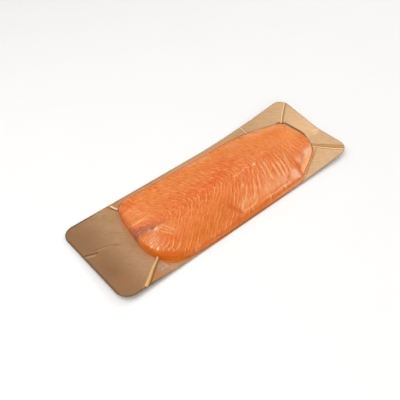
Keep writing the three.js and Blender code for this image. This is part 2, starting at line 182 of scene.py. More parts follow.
def spot(x, y, centre_x, centre_y, radius_x, radius_y, angle=0.0, strength=1.0):
    """A soft spot that falls off over its two radii, turned by an angle in degrees."""
    turn = math.radians(angle)
    along = (x - centre_x) * math.cos(turn) + (y - centre_y) * math.sin(turn)
    across = (y - centre_y) * math.cos(turn) - (x - centre_x) * math.sin(turn)
    return strength * np.exp(-(along / radius_x) ** 2 - (across / radius_y) ** 2)


def spots(x, y, listed):
    """The sum of some soft spots, kept between 0 and 1."""
    return np.clip(sum(spot(x, y, *numbers) for numbers in listed), 0, 1)


def card_underside(x, y):
    across = y / (CARD_WIDTH / 2)
    right = np.maximum(0, (x - FLAT_TO_X) / (CARD_LENGTH / 2 - FLAT_TO_X))
    left = np.maximum(0, (FLAT_FROM_X - x) / (CARD_LENGTH / 2 + FLAT_FROM_X))
    fold = np.hypot(across - FOLD_LINE, FOLD_SOFTNESS) - FOLD_SOFTNESS
    return ((RIGHT_LIFT + RIGHT_TWIST * across) * right ** CURL_POWER
            + FOLD_DEPTH * fold * right ** 2
            + (LEFT_LIFT + LEFT_TWIST * across) * left ** CURL_POWER)


def card_top(x, y):
    return card_underside(x, y) + CARD_THICKNESS


def closed_spline(points, steps):
    """Centripetal Catmull-Rom through a closed ring of points."""
    ring = []
    for i in range(len(points)):
        p = [points[(i + k) % len(points)] for k in (-1, 0, 1, 2)]
        gaps = [np.linalg.norm(p[k + 1] - p[k]) ** 0.5 for k in range(3)]
        leave, arrive = (
            ((p[k + 1] - p[k]) / gaps[k] - (p[k + 2] - p[k]) / (gaps[k] + gaps[k + 1])
             + (p[k + 2] - p[k + 1]) / gaps[k + 1]) * gaps[1] for k in (0, 1))
        for t in np.arange(steps) / steps:
            ring.append((2 * t ** 3 - 3 * t ** 2 + 1) * p[1] + (t ** 3 - 2 * t ** 2 + t) * leave
                        + (3 * t ** 2 - 2 * t ** 3) * p[2] + (t ** 3 - t ** 2) * arrive)
    return np.array(ring)


RING = closed_spline(OUTLINE, OUTLINE_STEPS)


def rim_distance(x, y):
    """Distance from the salmon's outline, positive inside it."""
    shape = np.shape(x)
    x, y = np.ravel(x).astype(float), np.ravel(y).astype(float)
    a, b = RING, np.roll(RING, -1, axis=0)
    edge = b - a
    length2 = (edge ** 2).sum(1)
    result = np.empty(len(x))
    for start in range(0, len(x), AT_ONCE):
        part = slice(start, start + AT_ONCE)
        px, py = x[part, None], y[part, None]
        along = np.clip(((px - a[:, 0]) * edge[:, 0] + (py - a[:, 1]) * edge[:, 1]) / length2, 0, 1)
        away = np.hypot(px - a[:, 0] - along * edge[:, 0], py - a[:, 1] - along * edge[:, 1]).min(1)
        straddles = (a[:, 1] > py) != (b[:, 1] > py)
        safe = np.where(edge[:, 1] == 0, 1, edge[:, 1])
        inside = (straddles & (px < a[:, 0] + edge[:, 0] * (py - a[:, 1]) / safe)).sum(1) % 2 == 1
        result[part] = np.where(inside, away, -away)
    return result.reshape(shape)


def past_crease(x, y):
    """Distance past the crease that the flap beside the tail starts at."""
    run = np.subtract(FLANGE_TO, FLANGE_FROM)
    return ((x - FLANGE_FROM[0]) * run[1] - (y - FLANGE_FROM[1]) * run[0]) / np.hypot(*run)


def salmon_thickness(x, y, distance, flange_thinning=FLANGE_THINNING):
    """Thickness of the salmon before the flakes are pressed in."""
    loin = ridge(y, LOIN_Y, LOIN_SPREAD)
    knob = np.exp(-((x - KNOB[0]) ** 2 + (y - KNOB[1]) ** 2) / KNOB_RADIUS ** 2)
    past = past_crease(x, y)
    flange = (rise(past, CREASE_SPAN) * fall(past, FLANGE_END_SPAN)
              * fall(distance, FLANGE_INNER_SPAN))
    full = (lerp(EDGE_THICKNESS, LOIN_THICKNESS, loin)
            * (1 - TAIL_THINNING * rise(x, TAIL_SPAN_X))
            * (1 - TIP_THINNING * rise(x, TIP_SPAN_X) * rise(y, TIP_SPAN_Y))
            * (1 - HEAD_THINNING * fall(x, HEAD_SPAN_X))
            * (1 - flange_thinning * flange)
            + KNOB_HEIGHT * knob)
    radius = lerp(RIM_RADIUS_NEAR, RIM_RADIUS_FAR, rise(y, RIM_RADIUS_SPAN_Y))
    inward = np.clip(distance / radius, 0, 1)
    return full * lerp(RIM_STAND, 1, np.sqrt(1 - (1 - inward) ** 2))


def lean(apex, side_near):
    """How far back a flake leans for each millimetre away from the spine."""
    near, far = (body * fall(apex, tail_span) + head * fall(apex, LEAN_HEAD_SPAN_X)
                 for body, tail_span, head in (LEAN_NEAR, LEAN_FAR))
    return np.where(side_near, near, far)


def flake_apex(x, y):
    """Where on the spine the flake line through a point has its apex, found by halving."""
    back = np.hypot(y - SPINE_Y, APEX_ROUNDING) - APEX_ROUNDING
    low, high = x.copy(), x + 3 * back + 1
    for _ in range(HALVINGS):
        middle = (low + high) / 2
        behind = middle - lean(middle, y < SPINE_Y) * back < x
        low, high = np.where(behind, middle, low), np.where(behind, high, middle)
    return (low + high) / 2


def tent_width(x, y):
    """How far from the salmon the film comes down to the card."""
    far = rise(y, TENT_FAR_SPAN_Y) * rise(x, TENT_HEAD_SPAN_X) * fall(x, TENT_TAIL_SPAN_X)
    return lerp(TENT_WIDTH, TENT_WIDTH_FAR, far)


def film_underside(x, y, rim):
    """Height of the film: over the salmon, down from its shoulder, over the card."""
    distance = rim + FILM_SIDE_GAP
    on_salmon = np.where(
        distance > 0,
        salmon_thickness(x, y, np.maximum(distance, 0), FLANGE_THINNING_UNDER_FILM) + REST_GAP, 0)
    width = tent_width(x, y)
    share = np.clip((distance + width) / (LIFT_OFF + width), 0, 1)
    tent = np.where(share < 1, share * (salmon_thickness(x, y, LIFT_OFF) + REST_GAP), 0)
    return card_top(x, y) + FILM_GAP + np.maximum(on_salmon, tent)


# -------- noise and lines

def noise(x, y, size, seed):
    """Smooth random heights between -1 and 1, with bumps about as wide as the size."""
    lattice = np.random.default_rng(seed).uniform(-1, 1, (LATTICE_SIZE, LATTICE_SIZE))
    u, v = x / size + LATTICE_OFFSET, y / size + LATTICE_OFFSET
    column, row = np.floor(u).astype(int), np.floor(v).astype(int)
    right, far = rise(u - column, (0, 1)), rise(v - row, (0, 1))

    def corner(across, along):
        return lattice[(column + across) % LATTICE_SIZE, (row + along) % LATTICE_SIZE]

    near_height = lerp(corner(0, 0), corner(1, 0), right)
    far_height = lerp(corner(0, 1), corner(1, 1), right)
    return lerp(near_height, far_height, far)


def line_distance(x, y, points):
    """Distance from a chain of points, positive on its left, and the share of the way along it."""
    best = np.full(np.shape(x), 1e9)
    share = np.zeros(np.shape(x))
    pieces = list(zip(points[:-1], points[1:]))
    for k, ((ax, ay), (bx, by)) in enumerate(pieces):
        run = np.hypot(bx - ax, by - ay)
        along = np.clip(((x - ax) * (bx - ax) + (y - ay) * (by - ay)) / run ** 2, 0, 1)
        away = np.hypot(x - ax - along * (bx - ax), y - ay - along * (by - ay))
        side = np.sign((bx - ax) * (y - ay) - (by - ay) * (x - ax))
        nearer = away < np.abs(best)
        best = np.where(nearer, away * side, best)
        share = np.where(nearer, (k + along) / len(pieces), share)
    return best, share


def stroke(x, y, points, width):
    """A soft line through some points, fading at both ends."""
    away, share = line_distance(x, y, points)
    return ridge(away, 0, width) * rise(share, (0, 0.15)) * fall(share, (0.8, 1))


def strokes(x, y, listed):
    """The sum of some soft lines."""
    return sum(stroke(x, y, points, width) for points, width in listed)


# -------- loops round the salmon

def runs_between(line, places):
    """Cuts a closed line into runs, each from the point nearest to one place to that of the next."""
    cuts = [int(np.argmin(np.hypot(*(line - place).T))) for place in places]
    runs = []
    for first, after in zip(cuts, cuts[1:] + cuts[:1]):
        last = after if after > first else after + len(line)
        runs.append(line[np.arange(first, last + 1) % len(line)])
    return runs


def resample(run, count):
    """Points at even distances along a run, without its last point."""
    reached = np.concatenate([[0], np.cumsum(np.hypot(*np.diff(run, axis=0).T))])
    targets = reached[-1] * np.arange(count) / count
    return np.stack([np.interp(targets, reached, run[:, k]) for k in (0, 1)], 1)


def film_edge():
    """The film's edge, just inside the card's, as a closed line of close points."""
    radius = CORNER_RADIUS - FILM_INSET
    middle = np.array([CARD_LENGTH / 2 - CORNER_RADIUS, CARD_WIDTH / 2 - CORNER_RADIUS])
    corners = []
    for sides, first in (((-1, -1), 180), ((1, -1), 270), ((1, 1), 0), ((-1, 1), 90)):
        angles = np.radians(first + np.linspace(0, 90, CORNER_POINTS))
        corners.append(middle * sides + radius * np.stack([np.cos(angles), np.sin(angles)], 1))
    rough = np.concatenate(corners)
    return resample(np.concatenate([rough, rough[:1]]), EDGE_POINTS)


def loops_between_pleats(counts):
    """Matching loops of points on the salmon's outline and on the film's edge."""
    starts = runs_between(RING, [pleat[0] for pleat in PLEATS])
    ends = runs_between(film_edge(), [pleat[1] for pleat in PLEATS])
    inner = np.concatenate([resample(run, n) for run, n in zip(starts, counts)])
    outer = np.concatenate([resample(run, n) for run, n in zip(ends, counts)])
    return inner, outer


def inset(loop, distance):
    """A loop moved inwards by a distance, along its own normals."""
    tangent = np.roll(loop, -1, axis=0) - np.roll(loop, 1, axis=0)
    tangent /= np.hypot(*tangent.T)[:, None]
    return loop + distance * np.stack([-tangent[:, 1], tangent[:, 0]], 1)


def patch_inside(loop, columns, rows):
    """Rows of points across the inside of a loop, blended from its four sides."""
    ring = np.concatenate([loop, loop[:1]])
    near = ring[:columns + 1]
    right = ring[columns:columns + rows + 1]
    far = ring[columns + rows:2 * columns + rows + 1][::-1]
    left = ring[2 * columns + rows:][::-1]
    u = np.linspace(0, 1, columns + 1)[None, :, None]
    v = np.linspace(0, 1, rows + 1)[:, None, None]
    corners = lerp(lerp(near[0], near[-1], u), lerp(far[0], far[-1], u), v)
    return lerp(near[None], far[None], v) + lerp(left[:, None], right[:, None], u) - corners


def grid_faces(grid):
    """The faces between the numbers of a grid, each starting at its first corner."""
    return np.stack([grid[:-1, :-1], grid[1:, :-1], grid[1:, 1:], grid[:-1, 1:]], -1).reshape(-1, 4)


def grid_border(grid):
    """The numbers on a grid's border, along its first row and on round."""
    return np.concatenate([grid[0, :-1], grid[:-1, -1], grid[-1, :0:-1], grid[:0:-1, 0]])


def ring_faces(outer, inner):
    """The faces between two closed loops."""
    return np.stack([outer, np.roll(outer, -1), np.roll(inner, -1), inner], 1)


class Sheet:
    """Rows and loops of points and the faces between them, begun inside a closed line."""

    def __init__(self, outline, counts, distances):
        """A patch inside a line, then loops at some distances inside it."""
        self.points = []
        self.faces = []
        self.count = 0
        self.last = self.patch(inset(outline, PATCH_INSET), *counts[:2])
        self.patch_count = self.count
        for distance in distances:
            self.loop(inset(outline, distance))

    def add(self, points):
        """Adds points and gives their numbers."""
        self.points.append(points)
        self.count += len(points)
        return np.arange(self.count - len(points), self.count)

    def patch(self, loop, columns, rows, corners=(0, 3, 2, 1)):
        """Fills a loop, by default with faces that look up, and gives the patch's border."""
        grid = self.add(patch_inside(loop, columns, rows).reshape(-1, 2)).reshape(rows + 1, -1)
        self.faces.append(grid_faces(grid)[:, corners])
        return grid_border(grid)

    def loop(self, points):
        """Adds a loop round the last one."""
        made = self.add(points)
        self.faces.append(ring_faces(made, self.last))
        self.last = made


def put(name, data):
    """A new object in the scene, for a mesh, a lamp or a camera."""
    made = bpy.data.objects.new(name, data)
    bpy.context.scene.collection.objects.link(made)
    return made


def make_object(name, points, faces, values, looks, kinds=None, smooth_angle=None):
    """A mesh object from points in millimetres, with named values at each point."""
    mesh = bpy.data.meshes.new(name)
    mesh.from_pydata((np.asarray(points) * MM).tolist(), [], [list(f) for f in faces])
    for key, numbers in values.items():
        attribute = mesh.attributes.new(key, "FLOAT", "POINT")
        attribute.data.foreach_set("value", numbers.astype(np.float32))
    for look in looks:
        mesh.materials.append(look)
    if kinds is not None:
        mesh.polygons.foreach_set("material_index", kinds.astype(np.int32))
    mesh.polygons.foreach_set("use_smooth", np.ones(len(mesh.polygons), bool))
    if smooth_angle:
        mesh.set_sharp_from_angle(angle=math.radians(smooth_angle))
    mesh.update()
    return put(name, mesh)


# -------- materials

def tone(red, green, blue):
    """A colour given as it looks on a screen, from 0 to 255."""
    shares = [c / 255 for c in (red, green, blue)]
    return (*(s / 12.92 if s <= 10 / 255 else ((s + 0.055) / 1.055) ** 2.4 for s in shares), 1.0)


class Look:
    """A material under construction, with short calls for the nodes it uses."""

    def __init__(self, name):
        self.material = bpy.data.materials.new(name)
        self.material.use_nodes = True
        self.tree = self.material.node_tree
        self.tree.nodes.clear()

    def node(self, kind, inputs=None, **settings):
        """A shader node with numbers or links for its inputs."""
        made = self.tree.nodes.new("ShaderNode" + kind)
        for key, value in settings.items():
            setattr(made, key, value)
        for key, value in (inputs or {}).items():
            if isinstance(value, bpy.types.NodeSocket):
                self.tree.links.new(value, made.inputs[key])
            else:
                made.inputs[key].default_value = value
        return made

    def value(self, name):
        return self.node("Attribute", attribute_name=name).outputs["Fac"]

    def place(self):
        """The place on the object in millimetres."""
        metres = self.node("TexCoord").outputs["Object"]
        scaled = self.node("VectorMath", {0: metres, "Scale": 1 / MM}, operation="SCALE")
        return scaled.outputs["Vector"]

    def math(self, operation, a, b=0.0):
        return self.node("Math", {0: a, 1: b}, operation=operation).outputs[0]

    def times(self, a, b):
        return self.math("MULTIPLY", a, b)

    def span(self, value, low, high, start=0.0, end=1.0):
        """Goes smoothly from the start value to the end value between low and high."""
        inputs = {"Value": value, "From Min": low, "From Max": high, "To Min": start, "To Max": end}
        made = self.node("MapRange", inputs, interpolation_type="SMOOTHSTEP")
        return made.outputs["Result"]

    def blend(self, factor, a, b):
        """Goes from one number to another as the factor goes from 0 to 1."""
        # A mix node has several sockets called A and B: 2 and 3 take numbers, 6 and 7 colours.
        return self.node("Mix", {0: factor, 2: a, 3: b}).outputs[0]

    def band(self, value, centre, core, reach):
        """1 within the core's half width of a centre, fading out by the reach."""
        away = self.math("ABSOLUTE", self.math("SUBTRACT", value, centre))
        return self.span(away, core, reach, 1.0, 0.0)

    def noise(self, vector, scale, detail=3.0, roughness=0.5):
        inputs = {"Vector": vector, "Scale": scale, "Detail": detail, "Roughness": roughness}
        return self.node("TexNoise", inputs).outputs["Fac"]

    def streaks(self, vector, stretch, scale=1.0, detail=2.0, roughness=0.5):
        """Noise that is stretched by a factor of its own along each axis."""
        stretched = self.node("VectorMath", {0: vector, 1: stretch}, operation="MULTIPLY")
        return self.noise(stretched.outputs["Vector"], scale, detail, roughness)

    def mix(self, factor, a, b, blend="MIX"):
        """Goes from one colour to another as the factor goes from 0 to 1."""
        inputs = {0: factor, 6: a, 7: b}
        return self.node("Mix", inputs, data_type="RGBA", blend_type=blend).outputs[2]

    def coats(self, base, listed):
        """Colours laid over another in turn, each by an amount or the product of two.

        An amount is a number, the output of a node or the name of a value.
        """
        for colour, *amounts in listed:
            amounts = [self.value(a) if isinstance(a, str) else a for a in amounts]
            amount = self.times(*amounts) if len(amounts) == 2 else amounts[0]
            made = colour if isinstance(colour, bpy.types.NodeSocket) else tone(*colour)
            base = self.mix(amount, base, made)
        return base

    def bump(self, height, distance):
        inputs = {"Height": height, "Distance": distance * MM}
        return self.node("Bump", inputs).outputs["Normal"]

    def shader(self, inputs):
        return self.node("BsdfPrincipled", inputs).outputs["BSDF"]

    def finish(self, surface):
        output = self.node("OutputMaterial")
        self.tree.links.new(surface, output.inputs["Surface"])
        return self.material


def salmon_look():
    """Orange flesh with paler lines between its flakes, pale fat, dark meat and silvery skin."""
    look = Look("smoked_salmon")
    place = look.place()
    flake, spine = look.value("flake"), look.value("spine")
    along = look.times(flake, FLAKE_PITCH)
    flow = look.node("CombineXYZ", {"X": along, "Y": spine, "Z": 0.0}).outputs["Vector"]
    far = look.span(spine, -4.0, 9.0)

    # Each row of flakes has a pale line along its middle and a darker one on its tail side. The
    # lines waver, differ from row to row, and break up, most of all on the far side of the spine.
    waver = look.math("SUBTRACT", look.noise(place, 0.09), 0.5)
    wavy = look.math("ADD", flake, look.times(waver, look.span(spine, -10.0, 15.0, 1.1, 1.8)))
    phase = look.math("FRACT", wavy)
    random = look.node("TexWhiteNoise", {"W": look.math("FLOOR", wavy)}, noise_dimensions="1D")
    long_breaks = look.span(look.streaks(flow, (0.16, 0.055, 1)), 0.36, 0.6)
    short_breaks = look.span(look.streaks(flow, (0.22, 0.16, 1)), 0.42, 0.6)
    strength = look.times(look.span(random.outputs["Value"], 0.0, 1.0, 0.45, 1.0),
                          look.blend(far, long_breaks, short_breaks))
    strength = look.times(strength, look.math("SUBTRACT", 1.0, look.value("calm")))
    width = look.span(look.streaks(flow, (0.1, 0.07, 1)), 0.3, 0.7, 0.11, 0.26)
    line = look.times(look.band(phase, 0.5, 0.02, width), strength)
    groove = look.times(look.band(phase, 0.7, 0.03, 0.2), look.span(strength, 0.0, 0.8, 0.3, 1.0))
    half_row = look.math("FRACT", look.math("ADD", look.times(wavy, 2.0), waver))
    thin = look.times(look.band(half_row, 0.5, 0.02, 0.24), look.span(short_breaks, 0.2, 1.0))

    # Flecks, pits, painted sparkle of tiny highlights and fine grain along the flakes, and slow
    # changes of tone.
    flecks = look.span(look.streaks(flow, (0.33, 0.12, 1), roughness=0.45), 0.52, 0.66)
    flecks = look.times(flecks, look.span(flake, 26.0, 40.0, 1.0, 0.5))
    pits = look.span(look.streaks(flow, (0.27, 0.1, 1), 1.3, roughness=0.45), 0.48, 0.34)
    pits = look.times(pits, look.span(flake, 28.0, 42.0, 1.0, 0.4))
    painted_sparkle = look.span(look.streaks(flow, (0.6, 0.35, 1)), 0.62, 0.7)
    grain = look.streaks(flow, (1.1, 0.22, 1), 1.0, 4.0, 0.6)
    mottle = look.noise(place, 0.12, 3.0, 0.55)
    slow = look.noise(place, 0.028, 2.0)
    flesh = look.mix(look.span(slow, 0.35, 0.65), tone(224, 113, 42), tone(228, 120, 50))
    flesh = look.coats(flesh, [
        ((236, 136, 70), far, 0.8),
        ((236, 138, 68), look.span(mottle, 0.38, 0.66, 0.0, 0.7)),
        ((208, 114, 22), "ochre", 0.85),
        ((243, 146, 62), "golden"),
        ((228, 98, 40), "blush"),
        ((214, 96, 30), look.span(grain, 0.4, 0.68, 0.0, 0.4)),
        ((204, 82, 14), groove, look.blend(far, 0.75, 0.22)),
        ((210, 88, 24), pits, look.blend(far, 0.3, 0.6)),
        ((242, 150, 80), thin, look.blend(far, 0.4, 0.16)),
        ((248, 162, 94), flecks, look.blend(far, 0.25, 0.6)),
        ((252, 178, 110), line, look.blend(far, 1.0, 0.52)),
        ((254, 190, 122), painted_sparkle, look.band(spine, -6.0, 8.0, 34.0)),
    ])

    # Past the head end the near half and the spine are a little richer.
    richer = look.times(look.span(flake, 6.0, 18.0), look.span(spine, 4.0, 16.0, 1.0, 0.1))
    flesh = look.mix(richer, flesh, (1.0, 0.955, 0.8, 1.0), "MULTIPLY")

    # The cut sides are finely layered and carry painted shade where they are in shade, and the flap by
    # the tail is pale. Patches, painted highlights among them, are broken up by the grain or torn into
    # shreds.
    layers = look.streaks(place, (0.07, 0.5, 1.5), 1.0, 3.0, 0.6)
    cut = look.mix(look.span(layers, 0.35, 0.65), tone(240, 110, 26), tone(255, 172, 92))
    ragged = look.span(grain, 0.3, 0.62, 0.6, 1.0)
    torn = look.span(look.streaks(place, (0.14, 0.4, 1), 1.0, 4.0, 0.6), 0.36, 0.58, 0.35, 1.0)
    flesh = look.coats(flesh, [
        (cut, "side"),
        ((186, 70, 10), "shaded", look.span(layers, 0.35, 0.6, 0.6, 1.0)),
        ((245, 174, 104), "flap", 0.7),
        ((248, 186, 132), "pale", ragged),
        ((196, 92, 78), "rosy", torn),
        ((138, 92, 68), "mauve", torn),
        ((242, 192, 162), "silver", torn),
        ((212, 90, 0), "dark", ragged),
        ((255, 232, 206), "glint", ragged),
    ])

    height = look.math("ADD", look.times(grain, 0.5), look.times(line, 0.5))
    return look.finish(look.shader({
        "Base Color": flesh, "Roughness": look.span(look.noise(place, 0.5), 0.3, 0.7, 0.34, 0.5),
        "Normal": look.bump(height, 0.22), "Specular IOR Level": 0.18, "Subsurface Weight": 0.12,
        "Subsurface Radius": (1.0, 0.3, 0.1), "Subsurface Scale": 2.5 * MM,
    }))


def card_look():
    """Satin gold foil with fine streaks, stained where the salmon's oil has run."""
    look = Look("gold_foil_card")
    place = look.place()
    lengthwise = look.streaks(place, (0.035, 0.6, 1.0), 1.0, 4.0, 0.6)
    clouds = look.noise(place, 0.03, 3.0, 0.55)
    fine = look.noise(place, 2.2, 3.0, 0.6)
    slanted = look.node("VectorRotate", {"Vector": place, "Angle": 0.7}, rotation_type="Z_AXIS")
    scratches = look.streaks(slanted.outputs["Vector"], (0.06, 0.7, 1.0), 1.0, 4.0, 0.65)
    specks = look.streaks(place, (0.5, 0.9, 1.0), 0.8, 4.0, 0.65)
    rim_breakup = look.span(look.noise(place, 0.25), 0.35, 0.65, 0.55, 1.0)
    foil = look.mix(look.span(clouds, 0.35, 0.65), tone(202, 162, 112), tone(220, 174, 132))
    foil = look.coats(foil, [
        ((192, 148, 106), look.span(lengthwise, 0.35, 0.75, 0.0, 0.35)),
        # Painted reflection: darker towards the left end, brighter towards the right.
        ((151, 107, 72), "painted_dark_reflection", 0.78),
        ((222, 181, 135), "painted_bright_reflection"),
        ((150, 112, 82), look.span(scratches, 0.42, 0.72, 0.0, 0.3)),
        ((216, 124, 48), "stain"),
        (look.mix(fine, tone(160, 122, 100), tone(206, 178, 160)), "dull"),
        # Painted shade and dark oil round the salmon.
        ((98, 54, 0), "contact_shade_and_oil"),
        # Painted shade and painted highlights by the pleats and creases and on the foil.
        ((112, 72, 34), "fold_shade"),
        ((244, 206, 156), "fold_light"),
        ((150, 112, 80), look.span(specks, 0.4, 0.7, 0.0, 0.22)),
        # Painted shade along the card's rim, and the light cut edge, both broken up by noise.
        ((84, 72, 54), "painted_rim_shade", rim_breakup),
        ((170, 146, 122), look.span(look.value("edge"), 0.0, 0.5, 0.8, 0.0), rim_breakup),
    ])
    relief = look.math("ADD", look.times(lengthwise, 0.7), look.times(fine, 0.3))
    return look.finish(look.shader({
        "Base Color": foil, "Metallic": 0.5, "Roughness": look.span(fine, 0.3, 0.7, 0.36, 0.5),
        "Normal": look.bump(relief, 0.06),
    }))


def film_look(name, haze_from, haze_tone, oil_tone, clear):
    """Clear plastic that reflects by angle, with a warm haze where it is cloudy or folded."""
    look = Look(name)
    place = look.place()
    normal = look.bump(look.noise(place, 0.12, 2.0, 0.4), 0.12)
    facing = look.node("LayerWeight", {"Blend": 0.5, "Normal": normal}).outputs["Facing"]
    reflects = look.math("ADD", look.times(look.math("POWER", facing, 4.0), 0.08), 0.008)
    seen_through = look.node("BsdfTransparent", {"Color": clear}).outputs["BSDF"]
    mirror = look.node("BsdfGlossy", {"Roughness": 0.16, "Normal": normal}).outputs["BSDF"]
    plastic = look.node("MixShader", {0: reflects, 1: seen_through, 2: mirror}).outputs["Shader"]
    tint = look.mix(look.noise(place, 0.4, 2.0), tone(*haze_tone), tone(255, 230, 188))
    tint = look.coats(tint, [(oil_tone, "warm"), ((122, 78, 20), "brown")])
    haze = look.shader({
        "Base Color": tint, "Roughness": 0.45, "Specular IOR Level": 0.1, "Normal": normal})
    broken = look.span(look.noise(place, 0.3), 0.25, 0.7, haze_from, 1.0)
    amount = look.times(look.value("haze"), broken)
    return look.finish(look.node("MixShader", {0: amount, 1: plastic, 2: haze}).outputs["Shader"])


def floor_look():
    """Nearly white, with slow clouds."""
    look = Look("pale_floor")
    cloud = look.noise(look.place(), 0.01)
    colour = look.mix(cloud, (0.93, 0.93, 0.93, 1), (0.96, 0.96, 0.96, 1))
    return look.finish(look.shader({"Base Color": colour, "Roughness": 0.7}))


# -------- salmon

